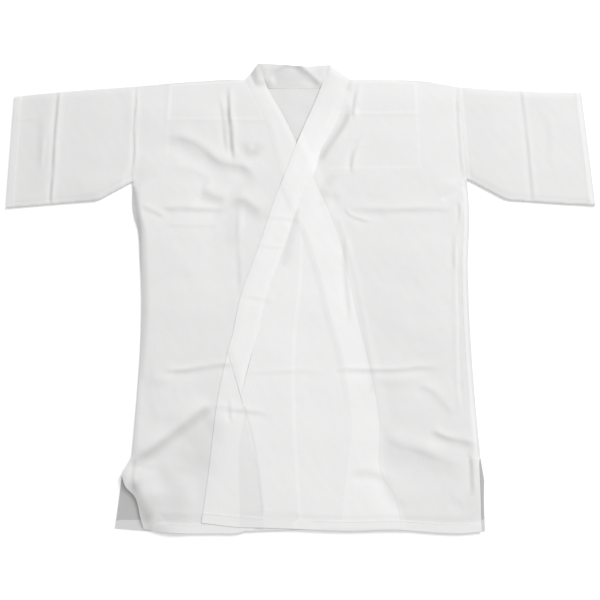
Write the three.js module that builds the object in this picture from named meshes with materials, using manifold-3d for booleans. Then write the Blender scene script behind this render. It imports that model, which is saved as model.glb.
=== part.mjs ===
// A half-length juban, the plain cotton under-robe of Japanese dress, laid flat with its front up.
// Millimetres. The back lies on Z = 0, +Y points to the neck and +X to the wearer's left sleeve.
// Right and left are the wearer's own, and the left front lies over the right front.

import * as THREE from "three";
import { mergeVertices } from "three/addons/utils/BufferGeometryUtils.js";
import Module from "manifold-3d";

const wasm = await Module();
wasm.setup();

// Cloth: one wall, the collar band folded double, a turned hem, and the gap between two pieces
const CLOTH = 1.0;
const BAND = 2.0;
const TURNED = 0.6;
const GAP = 0.3;

// Widths of the turned edges, and how far in from the edge the turned cloth starts
const HEM_WIDTH = 16;
const CUFF_WIDTH = 14;
const TURN_INSET = 0.2;

// Every wall is worked out on one square grid, so that walls that lie on each other never cross
const CELL = 23;
const GRID_SHIFT = 0.41;
const CELL_DIAGONAL = CELL * Math.SQRT2;

// How an upper layer comes down past the edge of what it lies on
const COME_DOWN = 30;

// How the upper layers stand off the lower ones
const PUFF = 2.0;
const PUFF_EASE = 70;

// The collar band behind the neck lies back, with its free edge off the surface
const NECK_RISE = 11;
const NECK_HINGE_Y = 398;
const NECK_SEAM_Y = 408;
const NECK_TOP_Y = 467;
const NECK_MIDDLE = { x: -8, half: 45, reach: 100 };

// Shoulder folds, from the sleeve seam to the neck
const SHOULDER_RIGHT = [
  { x: -329, y: 413 },
  { x: -201, y: 424 },
  { x: -135, y: 428 },
  { x: -110, y: 427 },
];
const SHOULDER_LEFT = [
  { x: 327, y: 411 },
  { x: 269, y: 423 },
  { x: 208, y: 427 },
  { x: 106, y: 428 },
];

// Side seams, from the underarm to the top of the side slits
const SIDES = [
  { y: 196, right: -322, left: 329 },
  { y: 124, right: -315, left: 328 },
  { y: 97, right: -306, left: 326 },
  { y: 31, right: -297, left: 319 },
  { y: -49, right: -289, left: 315 },
  { y: -136, right: -285, left: 313 },
  { y: -238, right: -285, left: 313 },
  { y: -335, right: -287, left: 315 },
];

// The back's slit edges and hem, and the seam down its middle
const BACK_SLIT_RIGHT = [
  { x: -302, y: -369 },
  { x: -304, y: -411 },
  { x: -307, y: -457 },
];
const BACK_SLIT_LEFT = [
  { x: 319, y: -378 },
  { x: 316, y: -411 },
  { x: 314, y: -462 },
];
const BACK_HEM_RIGHT = [
  { x: -248, y: -462 },
  { x: -206, y: -463 },
];
const CENTRE_BACK = [
  { x: 5, y: 135 },
  { x: 4, y: -10 },
  { x: -6, y: -108 },
  { x: -6, y: -291 },
  { x: 5, y: -457 },
];
const BACK_NECK = { y: 407, right: -62, left: 46 };

// The front's slit edges: the right one stands off the back and is drawn in towards the hem
const FRONT_SLIT_RIGHT = [
  { x: -302, y: -369 },
  { x: -294, y: -389 },
  { x: -277, y: -406 },
  { x: -265, y: -441 },
  { x: -259, y: -459 },
];
const FRONT_SLIT_LEFT = [
  { x: 312, y: -350 },
  { x: 308, y: -463 },
];

// Hems of the fronts, from the slit to the seam of the overlap strip
const FRONT_HEM_RIGHT = [
  { x: -231, y: -464 },
  { x: -198, y: -466 },
  { x: -105, y: -467 },
  { x: -89, y: -460 },
];
const FRONT_HEM_LEFT = [
  { x: 238, y: -465 },
  { x: 163, y: -460 },
  { x: 87, y: -462 },
  { x: 4, y: -459 },
];

// Overlap strips (okumi): their front edge and the seam to the front, downwards
const STRIP_LEFT = [
  { y: -232, edge: -141, seam: -101 },
  { y: -256, edge: -144, seam: -95 },
  { y: -300, edge: -148, seam: -86 },
  { y: -352, edge: -152, seam: -72 },
  { y: -424, edge: -159, seam: -60 },
  { y: -457, edge: -162, seam: -57 },
];
const STRIP_RIGHT = [
  { y: -281 - GAP, edge: 142, seam: 95 },
  { y: -378, edge: 146, seam: 82 },
  { y: -399, edge: 160, seam: 79 },
  { y: -424, edge: 168, seam: 76 },
  { y: -458, edge: 173, seam: 72 },
];
const STRIP_LEFT_HEM = [
  { x: -97, y: -456 },
  { x: -162, y: -449 },
];

// The collar's two runs: the free edge and the seam, downwards. The left one ends in a point.
const COLLAR_LEFT = [
  { y: 409, free: 46, seam: 97 },
  { y: 365, free: 30, seam: 90 },
  { y: 314, free: 10, seam: 71 },
  { y: 264, free: -8, seam: 45 },
  { y: 215, free: -24, seam: 33 },
  { y: 180, free: -37, seam: 15 },
  { y: 51, free: -76, seam: -27 },
  { y: -49, free: -107, seam: -59 },
  { y: -127, free: -121, seam: -75 },
  { y: -149, free: -127, seam: -82 },
];
const COLLAR_RIGHT = [
  { y: 405, free: -61, seam: -97 },
  { y: 353, free: -35, seam: -72 },
  { y: 282, free: -4, seam: -53 },
  { y: 200, free: 30, seam: -30 },
  { y: 72, free: 77, seam: 22 },
  { y: -10, free: 94, seam: 45 },
  { y: -88, free: 108, seam: 62 },
  { y: -146, free: 121, seam: 78 },
  { y: -220, free: 135, seam: 89 },
  { y: -281, free: 142, seam: 95 },
];
const COLLAR_TIP = { x: -101, y: -232 };

// Where the collar turns over at the two sides of the neck
const TURN_RIGHT = { x: -83, y: NECK_TOP_Y };
const TURN_LEFT = { x: 63, y: 464 };
const NECK_TOP_MIDDLE = { x: 4, y: 461 };

// Sleeves: the fold along the top, from the armhole out to the cuff, the seam along the
// underside, from the cuff back to the armhole, and which way along X the cuff lies
const SLEEVE_RIGHT = {
  outwards: -1,
  fold: [
    { x: -329, y: 413 },
    { x: -486, y: 399 },
    { x: -574, y: 389 },
  ],
  under: [
    { x: -561, y: 139 },
    { x: -536, y: 141 },
    { x: -387, y: 155 },
    { x: -322, y: 196 },
  ],
};
const SLEEVE_LEFT = {
  outwards: 1,
  fold: [
    { x: 327, y: 411 },
    { x: 453, y: 402 },
    { x: 574, y: 398 },
  ],
  under: [
    { x: 572, y: 144 },
    { x: 505, y: 148 },
    { x: 402, y: 156 },
    { x: 329, y: 201 },
  ],
};

// How far the hollow of a sleeve is cut past its open ends
const CUT_PAST = 5;

// Turned edges on the upper cloth: hems of the left front, its strip and the right front
const TURNED_HEMS = {
  frontLeft: [
    { x: 307, y: -463 },
    { x: 238, y: -465 },
    { x: 163, y: -460 },
    { x: 87, y: -462 },
    { x: 4, y: -459 },
    { x: -55, y: -457 },
  ],
  stripLeft: [
    { x: -60, y: -457 },
    { x: -97, y: -456 },
    { x: -159, y: -449.4 },
  ],
  frontRight: [
    { x: -168, y: -466.1 },
    { x: -198, y: -465.8 },
    { x: -230, y: -463.8 },
  ],
};

// The shoulder lining: how far it reaches to the sides, down the back and down the two fronts,
// where its side edges meet the shoulder folds, and where its front hems meet the collar
const LINING = { right: -262, left: 242, back: 223, frontRight: 333, frontLeft: 347 };
const LINING_SHOULDER = { right: 417, left: 423 };
const LINING_COLLAR = { right: -67, left: 84 };

// The largest folds: a line, how high it stands (or how deep it lies), and half its width
const FOLDS = [
  { x0: -133, y0: 415, x1: -130, y1: 240, height: 1.6, half: 28 },
  { x0: -130, y0: 240, x1: -107, y1: -49, height: 1.2, half: 28 },
  { x0: 122, y0: 415, x1: 112, y1: 344, height: 1.4, half: 26 },
  { x0: 120, y0: 290, x1: 103, y1: 211, height: 1.4, half: 26 },
  { x0: -284, y0: 118, x1: -111, y1: 109, height: -1.8, half: 28 },
  { x0: 90, y0: 124, x1: 290, y1: 105, height: -1.8, half: 28 },
  { x0: -229, y0: -187, x1: -136, y1: -181, height: -1.4, half: 26 },
  { x0: 4, y0: -192, x1: 264, y1: -177, height: -1.6, half: 26 },
  { x0: -300, y0: 276, x1: -208, y1: 278, height: -1.6, half: 26 },
  { x0: -208, y0: 278, x1: -100, y1: 214, height: -1.8, half: 26 },
  { x0: 100, y0: 350, x1: 62, y1: 232, height: -1.6, half: 24 },
  { x0: -280, y0: -358, x1: -188, y1: -302, height: -2.0, half: 30 },
  { x0: -188, y0: -302, x1: -140, y1: -250, height: -2.0, half: 28 },
  { x0: -245, y0: -395, x1: -190, y1: -365, height: 3.4, half: 52 },
  { x0: -240, y0: -275, x1: -190, y1: -235, height: 2.2, half: 50 },
  { x0: 190, y0: -268, x1: 300, y1: -316, height: -2.0, half: 28 },
  { x0: 205, y0: -350, x1: 275, y1: -375, height: 2.6, half: 46 },
  { x0: -210, y0: 60, x1: -200, y1: -60, height: 1.6, half: 80 },
  { x0: 225, y0: 40, x1: 215, y1: -90, height: 1.6, half: 80 },
  { x0: -486, y0: 395, x1: -475, y1: 150, height: 2.8, half: 26 },
  { x0: -400, y0: 360, x1: -395, y1: 200, height: 1.0, half: 50 },
  { x0: 453, y0: 398, x1: 452, y1: 160, height: 1.6, half: 26 },
];

// The front corner at the right slit, and the front edge at the left one, curl off the back
const CURLS = [
  { x: -296, y: -380, height: 5.0, radius: 44 },
  { x: -272, y: -424, height: 3.0, radius: 42 },
  { x: 311, y: -410, height: 2.0, radius: 46 },
];

// Materials
const cotton = (name, colour) => {
  const material = new THREE.MeshStandardMaterial({ color: colour, roughness: 0.92, metalness: 0 });
  material.name = name;
  return material;
};
const GAUZE = cotton("cotton gauze", 0xf1f1ef);
const COLLAR_CLOTH = cotton("collar cotton", 0xf6f6f4);

// Small helpers on outlines, which are lists of points with x and y
const backwards = (points) => [...points].reverse();
const moved = (points, dx, dy) => points.map(({ x, y }) => ({ x: x + dx, y: y + dy }));
const column = (rows, name) => rows.map((row) => ({ x: row[name], y: row.y }));
const last = (points) => points[points.length - 1];
const smooth = (from, to, value) => THREE.MathUtils.smoothstep(value, from, to);

function distanceToLine(a, b, x, y) {
  const dx = b.x - a.x;
  const dy = b.y - a.y;
  const along = (x - a.x) * dx + (y - a.y) * dy;
  const t = THREE.MathUtils.clamp(along / (dx * dx + dy * dy || 1), 0, 1);
  return Math.hypot(x - a.x - t * dx, y - a.y - t * dy);
}

// How far a point lies inside an outline, negative outside it
function depthInside(outline, x, y) {
  let nearest = Infinity;
  let inside = false;
  outline.forEach((a, i) => {
    const b = outline[(i + 1) % outline.length];
    nearest = Math.min(nearest, distanceToLine(a, b, x, y));
    const crosses = a.y > y !== b.y > y;
    if (crosses && x < ((b.x - a.x) * (y - a.y)) / (b.y - a.y) + a.x) inside = !inside;
  });
  return inside ? nearest : -nearest;
}

// Outlines of the pieces
const sideRight = column(SIDES, "right");
const sideLeft = column(SIDES, "left");
const centreBack = [{ x: CENTRE_BACK[0].x, y: BACK_NECK.y }, ...CENTRE_BACK];

const backRight = [
  ...backwards(sideRight),
  ...SHOULDER_RIGHT,
  { x: BACK_NECK.right, y: BACK_NECK.y },
  ...moved(centreBack, -GAP / 2, 0),
  ...backwards(BACK_HEM_RIGHT),
  ...backwards(BACK_SLIT_RIGHT),
];
const backLeft = [
  ...backwards(sideLeft),
  ...SHOULDER_LEFT,
  { x: BACK_NECK.left, y: BACK_NECK.y },
  ...moved(centreBack, GAP / 2, 0),
  ...backwards(BACK_SLIT_LEFT),
];

// The collar's seam edge belongs to the band; the cloth beside it stops one gap short
const collarRight = [
  last(SHOULDER_RIGHT),
  TURN_RIGHT,
  ...column(COLLAR_RIGHT, "free"),
  ...backwards(column(COLLAR_RIGHT, "seam")),
];
const collarLeft = [
  last(SHOULDER_LEFT),
  TURN_LEFT,
  ...column(COLLAR_LEFT, "free"),
  COLLAR_TIP,
  ...backwards(column(COLLAR_LEFT, "seam")),
];
const collarNeck = [
  { x: TURN_RIGHT.x + GAP, y: TURN_RIGHT.y },
  NECK_TOP_MIDDLE,
  { x: TURN_LEFT.x - GAP, y: TURN_LEFT.y },
  { x: COLLAR_LEFT[0].free - GAP, y: NECK_SEAM_Y },
  { x: COLLAR_RIGHT[0].free + GAP, y: NECK_SEAM_Y },
];

const stripSeamRight = column(STRIP_RIGHT, "seam");
const stripSeamLeft = column(STRIP_LEFT, "seam");

const frontRight = [
  ...backwards(sideRight),
  ...SHOULDER_RIGHT,
  ...moved(column(COLLAR_RIGHT, "seam"), -GAP, 0),
  ...moved(stripSeamRight, -GAP, 0),
  ...backwards(FRONT_HEM_RIGHT),
  ...backwards(FRONT_SLIT_RIGHT),
];
const frontLeft = [
  ...backwards(sideLeft),
  ...SHOULDER_LEFT,
  ...moved(column(COLLAR_LEFT, "seam"), GAP, 0),
  ...moved(stripSeamLeft, GAP, 0),
  ...backwards(FRONT_HEM_LEFT),
  ...backwards(FRONT_SLIT_LEFT),
];
const stripRight = [...stripSeamRight, ...backwards(column(STRIP_RIGHT, "edge"))];
const stripLeft = [
  { x: COLLAR_TIP.x - 2 * GAP, y: COLLAR_TIP.y },
  ...stripSeamLeft.slice(1),
  ...STRIP_LEFT_HEM,
  ...backwards(column(STRIP_LEFT, "edge").slice(0, -1)),
  { x: last(COLLAR_LEFT).free, y: last(COLLAR_LEFT).y - 2 * GAP },
];

// A line with its two ends drawn out along X: the first one back, the last one on
const drawnOut = (line, by) => [
  { x: line[0].x - by, y: line[0].y },
  ...line,
  { x: last(line).x + by, y: last(line).y },
];

// A sleeve stops one gap short of the armhole
const sleeveOutline = ({ fold, under, outwards }) => [
  { x: fold[0].x + outwards * GAP, y: fold[0].y },
  ...fold.slice(1),
  ...under.slice(0, -1),
  { x: last(under).x + outwards * GAP, y: last(under).y },
];
// Inside, it is one wall in from the fold and the seam, and runs out past the cuff and the armhole
const sleeveHollow = ({ fold, under, outwards }) => [
  ...drawnOut(moved(fold, 0, -CLOTH), outwards * CUT_PAST),
  ...drawnOut(moved(under, 0, CLOTH), -outwards * CUT_PAST),
];
const cuffLine = ({ fold, under }) => [
  { x: last(fold).x, y: last(fold).y - CLOTH },
  { x: under[0].x, y: under[0].y + CLOTH },
];

// The lining's edges: under the fold of the shoulder, and down to its own hems
const underShoulder = (shoulder) =>
  moved(shoulder, 0, -CLOTH - GAP).filter(({ x }) => x > LINING.right && x < LINING.left);
const liningShoulderRight = [
  { x: LINING.right, y: LINING_SHOULDER.right },
  ...underShoulder(SHOULDER_RIGHT),
];
const liningShoulderLeft = [
  { x: LINING.left, y: LINING_SHOULDER.left },
  ...underShoulder(SHOULDER_LEFT),
];
const liningBack = [
  { x: LINING.right, y: LINING.back },
  ...liningShoulderRight,
  { x: BACK_NECK.right, y: BACK_NECK.y - GAP },
  { x: BACK_NECK.left, y: BACK_NECK.y - GAP },
  ...backwards(liningShoulderLeft),
  { x: LINING.left, y: LINING.back },
];
const liningFrontRight = [
  { x: LINING.right, y: LINING.frontRight },
  ...liningShoulderRight,
  ...column(COLLAR_RIGHT, "seam").slice(0, 2),
  { x: LINING_COLLAR.right, y: LINING.frontRight },
];
const liningFrontLeft = [
  { x: LINING.left, y: LINING.frontLeft },
  ...liningShoulderLeft,
  ...column(COLLAR_LEFT, "seam").slice(0, 2),
  { x: LINING_COLLAR.left, y: LINING.frontLeft },
];

// The whole garment seen from above, at whose edge the upper cloth comes down to the lower
const silhouette = [
  ...SLEEVE_RIGHT.under,
  ...sideRight,
  ...BACK_SLIT_RIGHT,
  last(FRONT_SLIT_RIGHT),
  ...FRONT_HEM_RIGHT,
  ...backwards(FRONT_HEM_LEFT),
  ...backwards(BACK_SLIT_LEFT),
  ...backwards(sideLeft),
  ...backwards(SLEEVE_LEFT.under),
  ...backwards(SLEEVE_LEFT.fold),
  ...SHOULDER_LEFT.slice(1),
  TURN_LEFT,
  NECK_TOP_MIDDLE,
  TURN_RIGHT,
  ...backwards(SHOULDER_RIGHT),
  ...SLEEVE_RIGHT.fold.slice(1),
];

// Heights at a place on the grid
const covers = (outline, x, y) =>
  1 - smooth(CELL_DIAGONAL, CELL_DIAGONAL + COME_DOWN, -depthInside(outline, x, y));

function relief(x, y) {
  const ease = smooth(0, PUFF_EASE, depthInside(silhouette, x, y));
  let height = PUFF;
  for (const fold of FOLDS) {
    const away = distanceToLine({ x: fold.x0, y: fold.y0 }, { x: fold.x1, y: fold.y1 }, x, y);
    height += fold.height * (1 - smooth(0, fold.half, away));
  }
  let curl = 0;
  for (const { x: cx, y: cy, height: rise, radius } of CURLS) {
    curl += rise * (1 - smooth(0, radius, Math.hypot(x - cx, y - cy)));
  }
  return ease * Math.max(0, height) + curl;
}

function neckRise(x, y) {
  const back = smooth(NECK_HINGE_Y, NECK_TOP_Y, y);
  const aside = smooth(NECK_MIDDLE.half, NECK_MIDDLE.reach, Math.abs(x - NECK_MIDDLE.x));
  return NECK_RISE * back * (1 - aside);
}

const linings = (x, y) =>
  (CLOTH + GAP) * covers(liningBack, x, y) +
  (CLOTH + GAP) * Math.max(covers(liningFrontRight, x, y), covers(liningFrontLeft, x, y));

const onBack = (x, y) => CLOTH + GAP + linings(x, y) + relief(x, y);

const onRightFront = (x, y) =>
  onBack(x, y) +
  Math.max(
    (CLOTH + GAP) * covers(frontRight, x, y),
    (CLOTH + GAP) * covers(stripRight, x, y),
    (BAND + GAP) * covers(collarRight, x, y),
  );

const raised = (surface, by) => (x, y) => surface(x, y) + by;
const level = (height) => () => height;
const withNeck = (surface) => (x, y) => surface(x, y) + neckRise(x, y);

// Solids
function solid(geometry) {
  const bare = geometry.clone();
  bare.deleteAttribute("normal");
  bare.deleteAttribute("uv");
  const merged = mergeVertices(bare);
  return new wasm.Manifold(
    new wasm.Mesh({
      numProp: 3,
      vertProperties: new Float32Array(merged.attributes.position.array),
      triVerts: new Uint32Array(merged.index.array),
    }),
  );
}

const FLOOR_OF_PRISM = -5;
const PRISM_DEPTH = 60;

function prism(outline) {
  const shape = new THREE.Shape(outline.map(({ x, y }) => new THREE.Vector2(x, y)));
  const geometry = new THREE.ExtrudeGeometry(shape, { depth: PRISM_DEPTH, bevelEnabled: false });
  return solid(geometry.translate(0, 0, FLOOR_OF_PRISM));
}

// A closed block of grid cells around an outline, from one surface up to another
function block(low, high, outline) {
  const cellOf = (value) => (value - GRID_SHIFT) / CELL;
  const i0 = Math.floor(cellOf(Math.min(...outline.map(({ x }) => x)))) - 1;
  const i1 = Math.ceil(cellOf(Math.max(...outline.map(({ x }) => x)))) + 1;
  const j0 = Math.floor(cellOf(Math.min(...outline.map(({ y }) => y)))) - 1;
  const j1 = Math.ceil(cellOf(Math.max(...outline.map(({ y }) => y)))) + 1;
  const wide = i1 - i0 + 1;
  const tall = j1 - j0 + 1;
  const positions = [];
  const faces = [];
  for (const surface of [low, high]) {
    for (let j = j0; j <= j1; j++) {
      for (let i = i0; i <= i1; i++) {
        const x = i * CELL + GRID_SHIFT;
        const y = j * CELL + GRID_SHIFT;
        positions.push(x, y, surface(x, y));
      }
    }
  }
  const under = (i, j) => j * wide + i;
  const over = (i, j) => wide * tall + under(i, j);
  for (let j = 0; j < tall - 1; j++) {
    for (let i = 0; i < wide - 1; i++) {
      faces.push(over(i, j), over(i + 1, j), over(i + 1, j + 1));
      faces.push(over(i, j), over(i + 1, j + 1), over(i, j + 1));
      faces.push(under(i, j), under(i + 1, j + 1), under(i + 1, j));
      faces.push(under(i, j), under(i, j + 1), under(i + 1, j + 1));
    }
  }
  const wall = (a, b) => {
    faces.push(under(...a), under(...b), over(...b));
    faces.push(under(...a), over(...b), over(...a));
  };
  for (let i = 0; i < wide - 1; i++) {
    wall([i, 0], [i + 1, 0]);
    wall([i + 1, tall - 1], [i, tall - 1]);
  }
  for (let j = 0; j < tall - 1; j++) {
    wall([wide - 1, j], [wide - 1, j + 1]);
    wall([0, j + 1], [0, j]);
  }
  return new wasm.Manifold(
    new wasm.Mesh({
      numProp: 3,
      vertProperties: new Float32Array(positions),
      triVerts: new Uint32Array(faces),
    }),
  );
}

const cut = (low, high, outline) => block(low, high, outline).intersect(prism(outline));
const flat = (low, high, outline) => {
  const shape = new THREE.Shape(outline.map(({ x, y }) => new THREE.Vector2(x, y)));
  const geometry = new THREE.ExtrudeGeometry(shape, { depth: high - low, bevelEnabled: false });
  return solid(geometry.translate(0, 0, low));
};

function piece(name, body, material) {
  const { vertProperties, triVerts } = body.getMesh();
  const geometry = new THREE.BufferGeometry();
  geometry.setAttribute("position", new THREE.BufferAttribute(vertProperties, 3));
  geometry.setIndex(new THREE.BufferAttribute(triVerts, 1));
  geometry.computeVertexNormals();
  const mesh = new THREE.Mesh(geometry, material);
  mesh.name = name;
  return mesh;
}

// A strip one wall wide along a shoulder fold
const foldStrip = (shoulder) => [...shoulder, ...backwards(moved(shoulder, 0, -CLOTH))];

// The cloth turned back along an edge, on top of a wall: dx and dy point in from the edge
function turnedEdge(bottom, line, dx, dy) {
  const start = moved(line, TURN_INSET * Math.sign(dx), TURN_INSET * Math.sign(dy));
  const outline = [...start, ...backwards(moved(line, dx, dy))];
  return cut(raised(bottom, CLOTH / 2), raised(bottom, CLOTH + TURNED), outline);
}

// One length of cloth makes a front and a back, joined over the shoulder
function bodyHalf(back, front, shoulder, bottom, hem) {
  const top = raised(bottom, CLOTH);
  return flat(0, CLOTH, back)
    .add(cut(bottom, top, front))
    .add(cut(level(0), top, foldStrip(shoulder)))
    .add(turnedEdge(bottom, hem, 0, HEM_WIDTH));
}

function overlapStrip(bottom, outline) {
  return cut(bottom, raised(bottom, CLOTH), outline);
}

function collarRun(bottom, outline) {
  const low = withNeck(bottom);
  return cut(low, raised(low, BAND), outline);
}

function sleeve(side) {
  const bottom = (x, y) => CLOTH + GAP + relief(x, y);
  const cuff = turnedEdge(bottom, cuffLine(side), -side.outwards * CUFF_WIDTH, 0);
  return cut(level(0), raised(bottom, CLOTH), sleeveOutline(side))
    .subtract(cut(level(CLOTH), bottom, sleeveHollow(side)))
    .add(cuff);
}

function shoulderLining() {
  const low = CLOTH + GAP;
  const high = low + CLOTH + GAP;
  const parts = [
    flat(low, low + CLOTH, liningBack),
    flat(high, high + CLOTH, liningFrontRight),
    flat(high, high + CLOTH, liningFrontLeft),
    flat(low, high + CLOTH, foldStrip(liningShoulderRight)),
    flat(low, high + CLOTH, foldStrip(liningShoulderLeft)),
  ];
  return parts.reduce((whole, part) => whole.add(part));
}

const bodyRight = bodyHalf(backRight, frontRight, SHOULDER_RIGHT, onBack, TURNED_HEMS.frontRight);
const bodyLeft = bodyHalf(backLeft, frontLeft, SHOULDER_LEFT, onRightFront, TURNED_HEMS.frontLeft);
const okumiLeft = overlapStrip(onRightFront, stripLeft).add(
  turnedEdge(onRightFront, TURNED_HEMS.stripLeft, 0, HEM_WIDTH),
);

const juban = new THREE.Group();
juban.add(
  piece("body_right", bodyRight, GAUZE),
  piece("body_left", bodyLeft, GAUZE),
  piece("shoulder_lining", shoulderLining(), GAUZE),
  piece("okumi_right", overlapStrip(onBack, stripRight), GAUZE),
  piece("okumi_left", okumiLeft, GAUZE),
  piece("sleeve_right", sleeve(SLEEVE_RIGHT), GAUZE),
  piece("sleeve_left", sleeve(SLEEVE_LEFT), GAUZE),
  piece("collar_right", collarRun(onBack, collarRight), COLLAR_CLOTH),
  piece("collar_neck", collarRun(level(0), collarNeck), COLLAR_CLOTH),
  piece("collar_left", collarRun(onRightFront, collarLeft), COLLAR_CLOTH),
);

export default juban;
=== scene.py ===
# %% [markdown]
# # A cotton juban, laid flat
# A juban is the plain under-robe of Japanese dress. This one is thin white cotton gauze, laid on a
# table with its front up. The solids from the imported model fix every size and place, and this
# file dresses them in thin cloth. Lengths in the tables are millimetres, because a tailor thinks
# in them, and they are turned into metres only when a mesh is made.

# %% Load the frame
import math
import random
from collections import namedtuple

import bpy
import numpy as np
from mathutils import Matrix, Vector
from mathutils.geometry import delaunay_2d_cdt


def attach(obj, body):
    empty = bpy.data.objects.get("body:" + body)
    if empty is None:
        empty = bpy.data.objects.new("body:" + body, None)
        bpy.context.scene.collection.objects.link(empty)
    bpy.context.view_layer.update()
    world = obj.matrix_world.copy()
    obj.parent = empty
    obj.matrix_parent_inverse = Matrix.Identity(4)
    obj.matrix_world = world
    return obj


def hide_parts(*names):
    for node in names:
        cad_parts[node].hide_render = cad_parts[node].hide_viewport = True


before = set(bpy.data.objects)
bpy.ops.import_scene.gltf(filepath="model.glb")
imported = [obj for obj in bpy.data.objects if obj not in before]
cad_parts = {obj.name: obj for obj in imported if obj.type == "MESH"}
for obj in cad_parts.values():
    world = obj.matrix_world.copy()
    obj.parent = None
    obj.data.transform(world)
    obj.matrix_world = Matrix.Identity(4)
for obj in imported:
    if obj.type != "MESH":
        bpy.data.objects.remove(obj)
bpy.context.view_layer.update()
print("nodes:", ", ".join(sorted(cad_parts)))

# %% [markdown]
# ## The camera
# The real garment was seen from its hem side, 20 degrees off straight down. A 50 mm lens a metre and
# a half away keeps its edges nearly parallel. An orthographic camera would lose that slight taper,
# so a perspective one stands at the same distance.

# %% Place the camera
CAMERA_LENS = 50
CAMERA_SENSOR = 36
CAMERA_TILT = 20
CAMERA_PLACE = (0.0035, -0.57605, 1.4471)


def add_object(name, data):
    """A new object at the origin, in the scene's own collection."""
    made = bpy.data.objects.new(name, data)
    bpy.context.scene.collection.objects.link(made)
    return made


camera_data = bpy.data.cameras.new("camera")
camera_data.lens = CAMERA_LENS
camera_data.sensor_width = CAMERA_SENSOR
camera = add_object("camera", camera_data)
camera.location = CAMERA_PLACE
camera.rotation_euler = (math.radians(CAMERA_TILT), 0, 0)
bpy.context.scene.camera = camera
bpy.context.scene.view_settings.view_transform = "Standard"
print("camera height:", camera.location.z)

# %% [markdown]
# ## The tailor's plan
# A juban is cut from one narrow bolt, so most of its edges are straight and only the collar runs
# on the slant. The plan below repeats the named sizes that the solids were built from. Right and
# left are the wearer's own, and +Y points to the neck.

# %% Cloth thicknesses and gaps
MM = 0.001
GAUZE = 0.5
LAYER = 0.7
BAND = 1.3
BAND_LAYER = 1.5
GAP = 0.06
HEM_WIDTH = 16
CUFF_WIDTH = 14
HEM_RISE = 0.45
ALLOWANCE = 11
print("one layer of gauze takes", LAYER, "mm")

# %% Shoulders, sides and back
SHOULDER_RIGHT = [(-329, 413), (-201, 424), (-135, 428), (-110, 427)]
SHOULDER_LEFT = [(327, 411), (269, 423), (208, 427), (106, 428)]

Side = namedtuple("Side", "y right left")
SIDES = [
    Side(196, -322, 329),
    Side(124, -315, 328),
    Side(97, -306, 326),
    Side(31, -297, 319),
    Side(-49, -289, 315),
    Side(-136, -285, 313),
    Side(-238, -285, 313),
    Side(-335, -287, 315),
]
BACK_SLIT_RIGHT = [(-302, -369), (-304, -411), (-307, -457)]
BACK_SLIT_LEFT = [(319, -378), (316, -411), (314, -462)]
BACK_HEM_RIGHT = [(-248, -462), (-206, -463)]
CENTRE_BACK = [(5, 135), (4, -10), (-6, -108), (-6, -291), (5, -457)]
BACK_HEM_Y = -460
SLIT_TOP_Y = -340
SLIT_RIGHT_X = -225
SLIT_LEFT_X = 300
BACK_NECK_Y = 407
BACK_NECK_RIGHT = -62
BACK_NECK_LEFT = 46
print("shoulder to hem:", SHOULDER_RIGHT[2][1] - BACK_SLIT_LEFT[-1][1], "mm")

# %% Fronts, overlap strips and collar
FRONT_SLIT_RIGHT = [(-302, -369), (-294, -389), (-277, -406), (-265, -441), (-259, -459)]
FRONT_SLIT_LEFT = [(312, -350), (308, -463)]
FRONT_HEM_RIGHT = [(-231, -464), (-198, -466), (-132, -466), (-106, -466), (-98, -465), (-89, -462)]
FRONT_HEM_LEFT = [(300, -464), (270, -466), (238, -465), (163, -460), (87, -462), (4, -459)]

Strip = namedtuple("Strip", "y edge seam")
STRIP_LEFT = [
    Strip(-232, -141, -101),
    Strip(-256, -144, -95),
    Strip(-300, -148, -86),
    Strip(-352, -152, -72),
    Strip(-424, -159, -60),
    Strip(-457, -162, -57),
]
STRIP_RIGHT = [
    Strip(-281.1, 142, 95),
    Strip(-378, 146, 82),
    Strip(-399, 160, 79),
    Strip(-424, 168, 76),
    Strip(-458, 173, 72),
]
STRIP_LEFT_HEM = [(-97, -456), (-162, -449)]

Band = namedtuple("Band", "y free seam")
COLLAR_LEFT = [
    Band(409, 46, 97),
    Band(365, 30, 90),
    Band(314, 10, 71),
    Band(264, -8, 45),
    Band(215, -24, 33),
    Band(180, -37, 15),
    Band(51, -76, -27),
    Band(-49, -107, -59),
    Band(-127, -121, -75),
    Band(-149, -127, -82),
]
COLLAR_RIGHT = [
    Band(405, -61, -97),
    Band(353, -35, -72),
    Band(282, -4, -53),
    Band(200, 30, -30),
    Band(72, 77, 22),
    Band(-10, 94, 45),
    Band(-88, 108, 62),
    Band(-146, 121, 78),
    Band(-220, 135, 89),
    Band(-281, 142, 95),
]
COLLAR_TIP = (-101, -232)
TIP_GAP = 0.6
TURN_RIGHT = (-82, 461)
TURN_LEFT = (63, 461)
NECK_TOP = [TURN_LEFT, (38, 458), (16, 454), (-12, 456), (-42, 458), TURN_RIGHT]
NECK_SEAM_Y = 408
print("collar rows:", len(COLLAR_LEFT), "and", len(COLLAR_RIGHT))

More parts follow.
